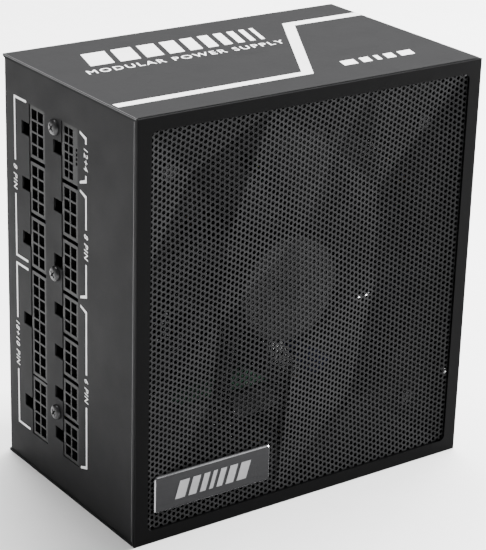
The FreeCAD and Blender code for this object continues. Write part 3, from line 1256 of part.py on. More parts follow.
# ---------------------------------------------------------------- power parts on the main board


def upright_can(name, x, z, radius, height):
    """A standing can capacitor with a bevelled shoulder."""
    base = BOARD_FACE
    can = rod(name + "_can", (x, base, z), radius, f"{height} - can_shoulder", "-y")
    top = cone(name + "_top", (x, f"{base} - {height} + can_shoulder", z),
               (radius, f"{radius} - can_shoulder"), "can_shoulder", "-y")
    return fuse(name, [can, top])


def on_board(name, x, z, size):
    """A block that stands on the main board, from its lowest X and Z."""
    low = (x, f"{BOARD_FACE} - ({size[1]})", z)
    return block(name, low, (f"{x} + {size[0]}", BOARD_FACE, f"{z} + {size[2]}"))


def wound_core(label, x, z, core, coil):
    """A transformer or choke: a framed core with a round centre post, and the former wound around it."""
    whole = on_board(f"{label}_core_block", x, z, core)
    margin = [f"((({a}) - ({b})) / 2)" for a, b in zip(core, coil)]
    low = (f"{x} + {margin[0]}", f"{BOARD_FACE} - ({coil[1]})", f"{z} + {margin[2]}")
    high = (f"{low[0]} + ({coil[0]})", BOARD_FACE, f"{low[2]} + ({coil[2]})")
    middle = (f"{x} + ({core[0]}) / 2", BOARD_FACE, f"{z} + ({core[2]}) / 2")
    former, room = block(f"{label}_former", low, high), block(f"{label}_room", low, high)
    radius = f"({core[0]}) * post_share"
    post, bore = (rod(f"{label}_{part}", middle, radius, core[1], "-y") for part in ("post", "bore"))
    return (
        fuse(f"{label}_core_whole", [cut(f"{label}_core_open", whole, [room]), post]),
        cut(f"{label}_winding_ring", former, [bore]),
    )


def ring_choke(label, x, z, radius, wire):
    """A wound ring that stands on edge on a plinth."""
    ring = doc.addObject("Part::Torus", f"{label}_ring")
    bind(ring, "Radius1", f"{radius} - {wire}")
    bind(ring, "Radius2", wire)
    place(ring, (x, f"{BOARD_FACE} - choke_foot - {radius}", z), Rotation(Vector(0, 1, 0), 90))
    half = f"({radius} / 2)"
    plinth = block(f"{label}_plinth", (f"{x} - {wire}", f"{BOARD_FACE} - choke_foot", f"{z} - {half}"),
                   (f"{x} + {wire}", BOARD_FACE, f"{z} + {half}"))
    return [ring, plinth]


def make_output_stage():
    """Output capacitors, heatsink and the control board."""
    count = int(sheet.output_can_count)
    cans = [
        upright_can(f"output_can_{i}", f"{SOCKET_BOARD_BACK} + output_can_from_board",
                    f"{MIDDLE} + ({i} - ({count} - 1) / 2) * output_can_pitch",
                    "output_can_radius", "output_can_height")
        for i in range(count)
    ]
    node(group("output_cans", cans), "output_capacitors")
    sink = heatsink("output_heatsink", f"({SOCKET_BOARD_BACK} + output_sink_from_board)",
                    f"({BOARD_LOW} + sink_from_edge)", int(sheet.output_fins))
    node(sink, "output_heatsink")
    spot = (f"({PRIMARY_LEFT} - control_from_sink)", f"({BOARD_LOW} + control_from_edge)")
    size = ("board_thickness", "control_rise", "control_length")
    node(on_board("control_sheet", *spot, size), "control_board")


def heatsink(label, x, z, fins):
    """A standing plate with a row of fins along its free edge."""
    wall = on_board(f"{label}_wall", x, z, ("heatsink_plate", "heatsink_height", f"{fins} * fin_pitch"))
    ribs = [
        block(f"{label}_fin_{i}",
              (f"{x} - fin_reach", f"{BOARD_FACE} - heatsink_height", f"{z} + ({i} + 0.5) * fin_pitch"),
              (f"{x} + heatsink_plate", f"{BOARD_FACE} - heatsink_height + fin_depth",
               f"{z} + ({i} + 0.5) * fin_pitch + fin_plate"))
        for i in range(fins)
    ]
    return fuse(f"{label}_whole", [wall] + ribs)


def make_input_stage():
    """Mains filter, rectifier, power factor choke, bulk capacitors and the power transistors."""
    column = f"({PRIMARY_LEFT} + bulk_from_sink)"
    cans = [
        upright_can(f"bulk_can_{i}", column,
                    f"{BOARD_LOW} + bulk_from_edge + {i} * (2 * bulk_can_radius + bulk_can_gap)",
                    "bulk_can_radius", "bulk_can_height")
        for i in range(2)
    ]
    node(group("bulk_cans", cans), "bulk_capacitors")
    choke = ring_choke("boost", column, f"({BOARD_LOW} + boost_from_edge)", "boost_radius", "boost_wire")
    node(group("boost_choke_parts", choke), "boost_choke")
    lines = []
    for name, sign in (("line_a", "-"), ("line_b", "+")):
        lines += ring_choke(name, f"({column} {sign} line_from_middle)", f"({BOARD_HIGH} - line_from_edge)",
                            "line_radius", "line_wire")
    node(group("line_choke_parts", lines), "line_chokes")
    filter_z = f"({BOARD_HIGH} - filter_from_edge)"
    node(on_board("film_cap_block", f"({PRIMARY_LEFT} + filter_from_sink)", filter_z,
                  ("filter_length", "filter_rise", "filter_width")), "filter_capacitor")
    node(on_board("relay_block", f"({PRIMARY_LEFT} - relay_from_sink)", filter_z,
                  ("relay_length", "relay_rise", "relay_width")), "inrush_relay")
    node(heatsink("boost_heatsink", PRIMARY_LEFT, f"({BOARD_LOW} + sink_from_edge)", int(sheet.boost_fins)),
         "boost_heatsink")
    face = f"({PRIMARY_LEFT} + heatsink_plate)"
    chips = [
        on_board(f"transistor_{i}", face, f"({BOARD_LOW} + chip_from_edge + {i} * chip_pitch)",
                 ("chip_plate", "chip_rise", "chip_width"))
        for i in range(3)
    ]
    node(group("transistor_group", chips), "power_transistors")
    node(on_board("rectifier_block", face, f"({BOARD_LOW} + rectifier_from_edge)",
                  ("chip_plate", "rectifier_rise", "rectifier_width")), "bridge_rectifier")


def make_transformers():
    """Main transformer as core and winding, and the two smaller wound parts."""
    core, winding = wound_core(
        "main_transformer",
        f"({PRIMARY_LEFT} - transformer_from_sink)",
        f"({BOARD_LOW} + transformer_from_edge)",
        ("transformer_length", "transformer_size", "transformer_size"),
        ("winding_length", "winding_length", "transformer_size + winding_proud"),
    )
    node(core, "transformer_core")
    node(winding, "transformer_winding")
    parts = wound_core(
        "resonant", f"({PRIMARY_LEFT} - resonant_from_sink)", f"({BOARD_LOW} + resonant_from_edge)",
        ("resonant_length", "resonant_length", "resonant_width"),
        ("resonant_winding", "resonant_rise", "resonant_width + winding_proud"),
    )
    node(group("resonant_parts", parts), "resonant_choke")
    parts = wound_core(
        "standby", f"({PRIMARY_LEFT} - standby_from_sink)", f"({BOARD_LOW} + standby_from_edge)",
        ("standby_length", "standby_length", "standby_width"),
        ("standby_winding", "standby_rise", "standby_width + winding_proud"),
    )
    node(group("standby_parts", parts), "standby_transformer")


make_cover()
make_front_frame()
make_tray()
make_casing_screws()
make_mesh_grille()
make_badge()
make_fan_bracket()
make_fan_housing()
make_rotor()
make_fan_motor()
make_sockets()
make_boards()
make_rear_panel()
make_inlet()
make_switch()
make_input_stage()
make_transformers()
make_output_stage()

# ---------------------------------------------------------------- check and export

doc.recompute()
os.makedirs("parts", exist_ok=True)
for item in doc.Objects:
    if {"Invalid", "Error"} & set(item.State):
        raise RuntimeError(f"{item.Name} failed: {item.State}")
for piece in NODES:
    if piece.Shape.isNull() or not piece.Shape.isValid() or not piece.Shape.Solids:
        raise RuntimeError(f"{piece.Label} has no valid solid")
for piece in NODES:
    piece.Shape.exportStep(f"parts/{piece.Label}.step")
print(f"{len(NODES)} sub-parts written")
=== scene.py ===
"""Looks of a compact modular power supply: coated casing, perforated fan side, sockets and rear panel.

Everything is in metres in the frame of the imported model: +Z is up, -Y the fan side, -X the sockets.
"""

import json
import logging
import math
from dataclasses import dataclass, field
from enum import Enum
from typing import Iterator, Sequence

import bmesh
import bpy
from mathutils import Matrix, Vector
from mathutils.bvhtree import BVHTree


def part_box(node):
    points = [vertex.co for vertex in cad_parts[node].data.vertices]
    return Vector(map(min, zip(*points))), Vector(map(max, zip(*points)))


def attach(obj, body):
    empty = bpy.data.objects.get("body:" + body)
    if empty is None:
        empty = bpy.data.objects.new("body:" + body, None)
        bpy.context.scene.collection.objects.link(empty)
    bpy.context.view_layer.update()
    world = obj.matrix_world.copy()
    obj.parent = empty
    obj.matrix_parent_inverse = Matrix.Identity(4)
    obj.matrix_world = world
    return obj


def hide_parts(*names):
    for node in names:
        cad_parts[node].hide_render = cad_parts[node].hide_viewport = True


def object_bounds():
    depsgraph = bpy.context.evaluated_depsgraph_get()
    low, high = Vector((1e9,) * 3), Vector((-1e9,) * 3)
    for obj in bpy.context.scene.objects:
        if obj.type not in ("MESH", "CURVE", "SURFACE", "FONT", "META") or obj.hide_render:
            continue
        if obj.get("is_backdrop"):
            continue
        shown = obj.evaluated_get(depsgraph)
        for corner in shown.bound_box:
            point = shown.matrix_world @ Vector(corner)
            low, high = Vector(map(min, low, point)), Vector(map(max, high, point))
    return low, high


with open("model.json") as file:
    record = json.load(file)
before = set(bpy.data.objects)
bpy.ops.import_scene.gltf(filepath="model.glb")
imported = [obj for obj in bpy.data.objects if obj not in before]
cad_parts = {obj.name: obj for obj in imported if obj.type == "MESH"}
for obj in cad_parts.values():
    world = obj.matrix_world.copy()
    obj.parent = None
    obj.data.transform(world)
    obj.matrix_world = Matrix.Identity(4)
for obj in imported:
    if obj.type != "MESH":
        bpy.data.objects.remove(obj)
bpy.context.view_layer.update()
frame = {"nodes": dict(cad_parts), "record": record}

MM = 0.001
MICRON = 0.000001
TINY = 1e-7
SHARP_ANGLE = 35.0
CASING = "casing"
X, Y, Z = (Vector(row) for row in Matrix.Identity(3))
log = logging.getLogger("power_supply")

Point = tuple[float, float]
Colour = tuple[float, float, float]
Box = tuple[float, float, float, float]
Socket = bpy.types.NodeSocket


# ---------------- finishes


class Graph:
    """A material's node tree, with short calls to add nodes and link them."""

    def __init__(self, name: str) -> None:
        """Starts an empty material with a Principled shader.

        Args:
            name: the material's name.
        """
        self.material = bpy.data.materials.new(name)
        self.material.use_nodes = True
        self.tree = self.material.node_tree
        self.tree.nodes.clear()
        self.shader = self.add("ShaderNodeBsdfPrincipled")
        output = self.add("ShaderNodeOutputMaterial")
        self.link(self.shader.outputs["BSDF"], output.inputs["Surface"])
        self.place = self.add("ShaderNodeTexCoord").outputs["Object"]

    def add(self, kind: str, **settings: object) -> bpy.types.Node:
        """Adds a node and sets its properties.

        Args:
            kind: the node's type.
            settings: the node's own properties by name.

        Returns:
            The new node.
        """
        node = self.tree.nodes.new(kind)
        for name, value in settings.items():
            setattr(node, name, value)
        return node

    def link(self, source: Socket, target: Socket) -> None:
        """Joins two sockets."""
        self.tree.links.new(source, target)

    def stretch(self, scale: Sequence[float]) -> Socket:
        """The object's coordinates, scaled apart along the three axes.

        Args:
            scale: the three factors.

        Returns:
            The scaled coordinates.
        """
        mapping = self.add("ShaderNodeMapping")
        mapping.inputs["Scale"].default_value = tuple(scale)
        self.link(self.place, mapping.inputs["Vector"])
        return mapping.outputs["Vector"]

    def noise(self, scale: float, detail: float = 2.0, place: Socket | None = None) -> Socket:
        """A noise value over the surface.

        Args:
            scale: how many grains in a metre.
            detail: how many finer layers it has.
            place: coordinates to read it at, or the object's own.

        Returns:
            The value's socket.
        """
        node = self.add("ShaderNodeTexNoise")
        node.inputs["Scale"].default_value = scale
        node.inputs["Detail"].default_value = detail
        self.link(place or self.place, node.inputs["Vector"])
        return node.outputs["Fac"]

    def remap(self, value: Socket, low: float, high: float, start: float = 0.0, stop: float = 1.0) -> Socket:
        """Maps a value's range from start..stop to low..high.

        Args:
            value: the value's socket.
            low: the new value at start.
            high: the new value at stop.
            start: the first old value.
            stop: the last old value.

        Returns:
            The mapped value's socket.
        """
        node = self.add("ShaderNodeMapRange")
        for name, number in (("From Min", start), ("From Max", stop), ("To Min", low), ("To Max", high)):
            node.inputs[name].default_value = number
        self.link(value, node.inputs["Value"])
        return node.outputs["Result"]

    def math(self, operation: str, first: Socket, second: Socket | float) -> Socket:
        """One arithmetic step on a value.

        Args:
            operation: the step's name.
            first: the first value.
            second: the second value, a socket or a number.

        Returns:
            The result's socket.
        """
        node = self.add("ShaderNodeMath", operation=operation)
        self.link(first, node.inputs[0])
        if isinstance(second, Socket):
            self.link(second, node.inputs[1])
        else:
            node.inputs[1].default_value = second
        return node.outputs[0]

    def blend(self, share: Socket, first: Socket | Colour, second: Colour) -> Socket:
        """A colour between two, by a share.

        Args:
            share: 0 for the first colour, 1 for the second.
            first: the first colour, a socket or a plain colour.
            second: the second colour.

        Returns:
            The colour's socket.
        """
        node = self.add("ShaderNodeMix", data_type="RGBA")
        if isinstance(first, Socket):
            self.link(first, node.inputs[6])
        else:
            node.inputs[6].default_value = (*first, 1.0)
        node.inputs[7].default_value = (*second, 1.0)
        self.link(share, node.inputs["Factor"])
        return node.outputs[2]

    def bump(self, height: Socket, depth: float) -> None:
        """Roughens the surface by a height.

        Args:
            height: the height, 0 to 1.
            depth: what a height of 1 is, in metres.
        """
        node = self.add("ShaderNodeBump")
        node.inputs["Strength"].default_value = 1.0
        node.inputs["Distance"].default_value = depth
        self.link(height, node.inputs["Height"])
        self.link(node.outputs["Normal"], self.shader.inputs["Normal"])

    def set(self, **inputs: float) -> None:
        """Sets plain values on the shader's own sockets, with _ for a blank in a name."""
        for name, value in inputs.items():
            self.shader.inputs[name.replace("_", " ")].default_value = value


def shade(colour: Colour, factor: float) -> Colour:
    """The colour, lighter or darker by a factor."""
    return tuple(min(1.0, part * factor) for part in colour)


@dataclass(frozen=True)
class Finish:
    """A plain moulded or painted surface: fine grain, slow mottling, and a roughness that varies a little.

    The grain is in grains in a metre, its depth in microns, and a patch of other roughness in grains.
    """

    name: str
    colour: Colour
    roughness: float = 0.5
    metallic: float = 0.0
    grain: float = 2200.0
    depth: float = 20.0
    mottle: float = 0.12
    specular: float = 0.5
    patch: float = 30.0
    smoothest: float = 0.88
    roughest: float = 1.1

    def build(self) -> bpy.types.Material:
        """Makes the material.

        Returns:
            The material.
        """
        graph = Graph(self.name)
        self.tint(graph)
        patches = graph.noise(self.grain / self.patch, 3.0)
        low, high = self.roughness * self.smoothest, self.roughness * self.roughest
        rough = graph.remap(patches, low, high, 0.3, 0.7)
        graph.link(rough, graph.shader.inputs["Roughness"])
        graph.set(Metallic=self.metallic, Specular_IOR_Level=self.specular)
        graph.bump(graph.noise(self.grain, 2.0), self.depth * MICRON)
        return graph.material

    def tint(self, graph: Graph) -> None:
        """Gives the shader its mottled colour.

        Args:
            graph: the material's graph.
        """
        share = graph.remap(graph.noise(90.0, 4.0), 0.0, 1.0, 0.3, 0.7)
        graph.link(self.mottled(graph, share), graph.shader.inputs["Base Color"])

    def mottled(self, graph: Graph, share: Socket) -> Socket:
        """The finish's colour, varied by a share.

        Args:
            graph: the material's graph.
            share: 0 for its darkest, 1 for its lightest.

        Returns:
            The colour's socket.
        """
        return graph.blend(share, shade(self.colour, 1 - self.mottle), shade(self.colour, 1 + self.mottle))


@dataclass(frozen=True)
class PowderCoat(Finish):
    """Cured powder paint on steel: fine orange peel, a scatter of brighter grains, and a painted highlight on
    bends.
    """

    sparkle: float = 1.35
    # painted highlight: how much lighter the colour is on bends and rounded edges
    bend_highlight: float = 5.0

    def tint(self, graph: Graph) -> None:
        """Gives the shader its speckled colour, lighter on bends as a painted highlight.

        Args:
            graph: the material's graph.
        """
        grains = graph.add("ShaderNodeTexVoronoi")
        grains.inputs["Scale"].default_value = self.grain
        graph.link(graph.place, grains.inputs["Vector"])
        share = graph.remap(grains.outputs["Distance"], 0.7, 0.0, 0.0, 0.55)
        slow = graph.math("MULTIPLY", graph.remap(graph.noise(60.0, 3.0), 0.75, 1.0, 0.3, 0.7), share)
        paint = graph.blend(slow, self.colour, shade(self.colour, self.sparkle))
        # painted highlight: lighter colour on bends and rounded edges, where the rounding catches the light
        with_bend_highlight = graph.blend(self.bend_highlight_share(graph), paint, shade(self.colour, self.bend_highlight))
        graph.link(with_bend_highlight, graph.shader.inputs["Base Color"])

    def bend_highlight_share(self, graph: Graph) -> Socket:
        """Where the painted highlight goes: the sheet's bends and rounded edges, the faces that look along
        none of the three axes.

        Args:
            graph: the material's graph.

        Returns:
            A value of 1 on a bend and 0 on a flat face.
        """
        parts = graph.add("ShaderNodeSeparateXYZ")
        graph.link(graph.add("ShaderNodeNewGeometry").outputs["Normal"], parts.inputs[0])
        sizes = [graph.math("POWER", graph.math("ABSOLUTE", parts.outputs[k], 0.0), 4.0) for k in range(3)]
        total = graph.math("ADD", graph.math("ADD", sizes[0], sizes[1]), sizes[2])
        return graph.remap(total, 1.0, 0.0, 0.6, 0.93)


@dataclass(frozen=True)
class Brushed(Finish):
    """Bare or anodised metal with a drawn grain along one axis."""

    along: tuple[float, float, float] = (1.0, 40.0, 40.0)
    edge: Colour | None = None
    face: tuple[float, float, float] = (0.0, -1.0, 0.0)
    streaks: float = 180.0

    def tint(self, graph: Graph) -> None:
        """Gives the shader its streaked colour, with bright cut edges where the finish has them.

        Args:
            graph: the material's graph.
        """
        streaks = graph.noise(self.streaks, 4.0, graph.stretch(self.along))
        plain = self.mottled(graph, graph.remap(streaks, 0.0, 1.0, 0.35, 0.65))
        if self.edge:
            facing = graph.add("ShaderNodeVectorMath", operation="DOT_PRODUCT")
            graph.link(graph.add("ShaderNodeNewGeometry").outputs["Normal"], facing.inputs[0])
            facing.inputs[1].default_value = self.face
            plain = graph.blend(graph.remap(facing.outputs["Value"], 1.0, 0.0, 0.9, 0.97), plain, self.edge)
        graph.link(plain, graph.shader.inputs["Base Color"])


@dataclass(frozen=True)
class Laminate(Finish):
    """A circuit board: solder mask over a faint pattern of tracks, with tinned pads."""

    track: Colour = (0.016, 0.05, 0.028)
    pad: Colour = (0.2, 0.2, 0.19)
    pitch: float = 420.0
    track_width: float = 0.08
    second_mask: float = 1.25
    scatter: float = 0.55
    pad_rim: Point = (0.16, 0.2)

    def tint(self, graph: Graph) -> None:
        """Gives the shader tracks and pads.

        Args:
            graph: the material's graph.
        """
        tracks = graph.add("ShaderNodeTexBrick")
        tracks.inputs["Scale"].default_value = self.pitch / 6
        tracks.inputs["Mortar Size"].default_value = self.track_width
        tracks.inputs["Color1"].default_value = (*self.colour, 1.0)
        tracks.inputs["Color2"].default_value = (*shade(self.colour, self.second_mask), 1.0)
        tracks.inputs["Mortar"].default_value = (*self.track, 1.0)
        turned = graph.add("ShaderNodeMapping")
        turned.inputs["Rotation"].default_value = (math.pi / 2, 0.0, 0.0)
        graph.link(graph.place, turned.inputs["Vector"])
        graph.link(turned.outputs["Vector"], tracks.inputs["Vector"])
        dots = graph.add("ShaderNodeTexVoronoi")
        dots.inputs["Scale"].default_value = self.pitch
        dots.inputs["Randomness"].default_value = self.scatter
        graph.link(graph.place, dots.inputs["Vector"])
        pads = graph.remap(dots.outputs["Distance"], 1.0, 0.0, *self.pad_rim)
        graph.link(graph.blend(pads, tracks.outputs["Color"], self.pad), graph.shader.inputs["Base Color"])


@dataclass(frozen=True)
class Wound(Finish):
    """Enamelled wire or tape wound in turns across one axis, with painted shade in the grooves between turns.
    """

    # painted shade: the darker colour between the turns stands in for the shade in their grooves
    groove_shade: Colour = (0.2, 0.1, 0.03)
    turns: float = 900.0
    axis: str = "Z"
    waver: float = 0.6

    def tint(self, graph: Graph) -> None:
        """Gives the shader its turns of wire, darker between them as painted shade.

        Args:
            graph: the material's graph.
        """
        turns = graph.add("ShaderNodeTexWave", wave_type="BANDS", bands_direction=self.axis)
        turns.inputs["Scale"].default_value = self.turns / 6
        turns.inputs["Distortion"].default_value = self.waver
        turns.inputs["Detail"].default_value = 1.0
        graph.link(graph.place, turns.inputs["Vector"])
        # painted shade in the grooves between turns
        wire = graph.blend(turns.outputs["Fac"], self.groove_shade, self.colour)
        graph.link(wire, graph.shader.inputs["Base Color"])


class Finishes:
    """The object's finishes by the record's material slots, each made once."""

    COAT = PowderCoat("powder_coat", (0.0185, 0.0185, 0.019), 0.5, grain=3200, depth=12, specular=0.03)
    FRAME_COAT = PowderCoat("satin_coat", (0.0022, 0.0022, 0.0023), 0.34, grain=3600, depth=6, specular=0.02)
    INNER_COAT = PowderCoat("matt_coat", (0.006, 0.006, 0.006), 0.7, grain=2600, specular=0.1)
    MESH_COAT = Finish("mesh_coat", (0.016, 0.016, 0.0165), 0.3, grain=3000, depth=6, mottle=0.1,
                       specular=0.03)
    BY_SLOT = {
        "black_steel": COAT,
        "mesh_steel": MESH_COAT,
        "badge_metal": Brushed("badge_metal", (0.018, 0.018, 0.019), 0.3, 0.9, 2600, 4,
                               edge=(0.3, 0.3, 0.31)),
        "black_nylon": Finish("black_nylon", (0.0045, 0.0045, 0.0048), 0.4, grain=1500, depth=10,
                              specular=0.12),
        "circuit_board": Laminate("circuit_board", (0.006, 0.022, 0.012), 0.4, grain=900),
        "brass": Finish("plated_contact", (0.83, 0.66, 0.33), 0.24, 1.0, 1200, 5, 0.06),
        "copper": Wound("tinned_copper", (0.74, 0.4, 0.2), 0.32, 0.9, 1500, 10, groove_shade=(0.3, 0.13, 0.05)),
        "fan_plastic": Finish("fan_plastic", (0.012, 0.012, 0.0125), 0.4, grain=1800, depth=12, specular=0.3),
        "bare_steel": Brushed("zinc_plate", (0.56, 0.57, 0.6), 0.34, 1.0, 1600, 6, 0.08),
        "screw_steel": Finish("black_oxide", (0.02, 0.02, 0.021), 0.38, 0.3, 2400, 8),
        "ferrite": Finish("ferrite", (0.035, 0.034, 0.034), 0.55, grain=1400),
        "rocker_plastic": Finish("rocker_plastic", (0.016, 0.016, 0.017), 0.22, grain=1200, depth=6),
        "heatsink_aluminium": Brushed("extruded_aluminium", (0.66, 0.67, 0.69), 0.36, 1.0, 1500, 8, 0.1,
                                      along=(40.0, 40.0, 1.0)),
        "capacitor_sleeve": Finish("shrink_sleeve", (0.02, 0.022, 0.05), 0.25, grain=900, depth=6),
        "winding_tape": Wound("winding_tape", (0.62, 0.36, 0.12), 0.4, 0.3, 1500),
        "film": Finish("insulation_film", (0.5, 0.4, 0.22), 0.28, grain=600, depth=10),
        "part_box": Finish("part_box", (0.42, 0.33, 0.07), 0.42, grain=1200, depth=10),
        "moulding": Finish("epoxy_moulding", (0.03, 0.03, 0.03), grain=1600, depth=10),
    }
    # painted shade: near-black finish for the seam gaps and for the strip in the slit by the fan's bracket
    PAINTED_SHADE = Finish("painted_shade_black", (0.008, 0.008, 0.008), 0.85, grain=900, depth=60, specular=0.1)
    # painted highlight: lighter coat for the rounded edges along the seams, where they catch the light
    PAINTED_EDGE_HIGHLIGHT = Finish("painted_edge_highlight", (0.075, 0.075, 0.077), 0.4, grain=2600, depth=6, specular=0.2)
    INK = Finish("white_ink", (0.86, 0.86, 0.86), grain=2600, depth=4, mottle=0.03)
    BADGE_INK = Finish("silver_ink", (0.2, 0.2, 0.205), 0.35, 0.6, 2600, 4, 0.05)

    def __init__(self) -> None:
        """Starts with no material made."""
        self.made: dict[str, bpy.types.Material] = {}

    def get(self, finish: Finish) -> bpy.types.Material:
        """The finish's material, made at first use.

        Args:
            finish: the finish.

        Returns:
            Its material.
        """
        if finish.name not in self.made:
            self.made[finish.name] = finish.build()
        return self.made[finish.name]

    def dress(self, piece: bpy.types.Object, finish: Finish) -> None:
        """Puts one finish on a whole piece.

        Args:
            piece: the object to dress.
            finish: its finish.
        """
        material = self.get(finish)
        if not piece.data.materials:
            piece.data.materials.append(material)
        for index in range(len(piece.data.materials)):
            piece.data.materials[index] = material


finishes = Finishes()
SLOT_OF = {part["node"]: part["material_slot"] for part in frame["record"]["subparts"]}


# ---------------- mesh helpers


def add_piece(name: str, mesh: bmesh.types.BMesh, sharp: float = SHARP_ANGLE) -> bpy.types.Object:
    """Turns a finished bmesh into an object, smooth but for its sharp edges.

    Args:
        name: the piece's name.
        mesh: its mesh, which is freed.
        sharp: the angle in degrees from which an edge stays sharp.

    Returns:
        The new object.
    """
    bmesh.ops.recalc_face_normals(mesh, faces=mesh.faces)
    data = bpy.data.meshes.new(name)
    mesh.to_mesh(data)
    mesh.free()
    data.shade_smooth()
    data.set_sharp_from_angle(angle=math.radians(sharp))
    piece = bpy.data.objects.new(name, data)
    bpy.context.scene.collection.objects.link(piece)
    return piece


def finish_piece(piece: bpy.types.Object, body: str, slot: str, finish: Finish,
                 *nodes: str) -> bpy.types.Object:
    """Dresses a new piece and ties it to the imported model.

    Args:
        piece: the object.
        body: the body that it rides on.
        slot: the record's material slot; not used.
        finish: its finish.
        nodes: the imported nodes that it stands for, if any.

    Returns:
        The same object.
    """
    finishes.dress(piece, finish)
    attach(piece, body)
    if nodes:
        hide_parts(*nodes)
    log.info("%s: %d faces, on %s", piece.name, len(piece.data.polygons), body)
    return piece


def lathe(mesh: bmesh.types.BMesh, profile: Sequence[Point], centre: Vector, axis: Vector,
          steps: int = 48) -> None:
    """Adds a turned solid.

    Args:
        mesh: the mesh to add to.
        profile: radius and height pairs from the axis at one end to the axis at the other.
        centre: where height 0 is.
        axis: the direction of growing height.
        steps: how many sides the turning has.
    """
    axis = axis.normalized()
    across = axis.orthogonal().normalized()
    side = axis.cross(across)
    rings = []
    for radius, height in profile:
        spot = centre + axis * height
        if radius < TINY:
            rings.append([mesh.verts.new(spot)])
            continue
        turns = [2 * math.pi * i / steps for i in range(steps)]
        rings.append([mesh.verts.new(spot + (across * math.cos(t) + side * math.sin(t)) * radius)
                      for t in turns])
    for first, second in zip(rings, rings[1:]):
        for i in range(steps):
            j = (i + 1) % steps
            corners = [ring[k % len(ring)] for ring, k in ((first, i), (first, j), (second, j), (second, i))]
            mesh.faces.new(list(dict.fromkeys(corners)))


def prism(mesh: bmesh.types.BMesh, outline: Sequence[Vector], rise: Vector) -> None:
    """Adds a straight-sided solid on a flat outline.

    Args:
        mesh: the mesh to add to.
        outline: the outline's points in order.
        rise: from the outline to the other end.
    """
    low = [mesh.verts.new(point) for point in outline]
    high = [mesh.verts.new(point + rise) for point in outline]
    mesh.faces.new(low)
    mesh.faces.new(high)
    for i in range(len(low)):
        j = (i + 1) % len(low)
        mesh.faces.new((low[i], low[j], high[j], high[i]))


def islands(node: str) -> Iterator[tuple[Vector, Vector]]:
    """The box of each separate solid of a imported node.

    Args:
        node: the node's name.

    Yields:
        Lowest and highest corner of one solid.
    """
    mesh = bmesh.new()
    mesh.from_mesh(frame["nodes"][node].data)
    bmesh.ops.remove_doubles(mesh, verts=mesh.verts, dist=TINY)
    left = set(mesh.verts)
    found = []
    while left:
        edge, group = [left.pop()], []
        while edge:
            vert = edge.pop()
            group.append(vert.co.copy())
            near = {link.other_vert(vert) for link in vert.link_edges} & left
            left -= near
            edge.extend(near)
        low = Vector(tuple(min(point[k] for point in group) for k in range(3)))
        high = Vector(tuple(max(point[k] for point in group) for k in range(3)))
        found.append((low, high))
    mesh.free()
    yield from sorted(found, key=lambda pair: tuple(round(v, 5) for v in pair[0]))


def surface(node: str) -> BVHTree:
    """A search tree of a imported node's surface.

    Args:
        node: the node's name.

    Returns:
        The tree.
    """
    mesh = bmesh.new()
    mesh.from_mesh(frame["nodes"][node].data)
    tree = BVHTree.FromBMesh(mesh)
    mesh.free()
    return tree


def carve(piece: bpy.types.Object, tool: bmesh.types.BMesh) -> None:
    """Cuts a solid out of a piece.

    Args:
        piece: the piece to cut.
        tool: the solid to cut away, which is freed.
    """
    cutter = add_piece("cutter", tool)
    modifier = piece.modifiers.new("cut", "BOOLEAN")
    modifier.operation, modifier.solver, modifier.object = "DIFFERENCE", "EXACT", cutter
    ready = piece.evaluated_get(bpy.context.evaluated_depsgraph_get())
    result = bpy.data.meshes.new_from_object(ready)
    piece.modifiers.clear()
    piece.data = result
    piece.data.shade_smooth()
    piece.data.set_sharp_from_angle(angle=math.radians(SHARP_ANGLE))
    bpy.data.objects.remove(cutter)


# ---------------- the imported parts


@dataclass
class PackedParts:
    """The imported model's own nodes, each in the finish of its material slot."""

    special: dict[str, Finish] = field(default_factory=lambda: {
        "front_frame": Finishes.FRAME_COAT, "fan_bracket": Finishes.INNER_COAT})

    def dress(self) -> None:
        """Gives every node its finish."""
        for name, piece in frame["nodes"].items():
            finishes.dress(piece, self.special.get(name, Finishes.BY_SLOT[SLOT_OF[name]]))
        log.info("packed nodes: %d dressed", len(frame["nodes"]))


# ---------------- the perforated sheet


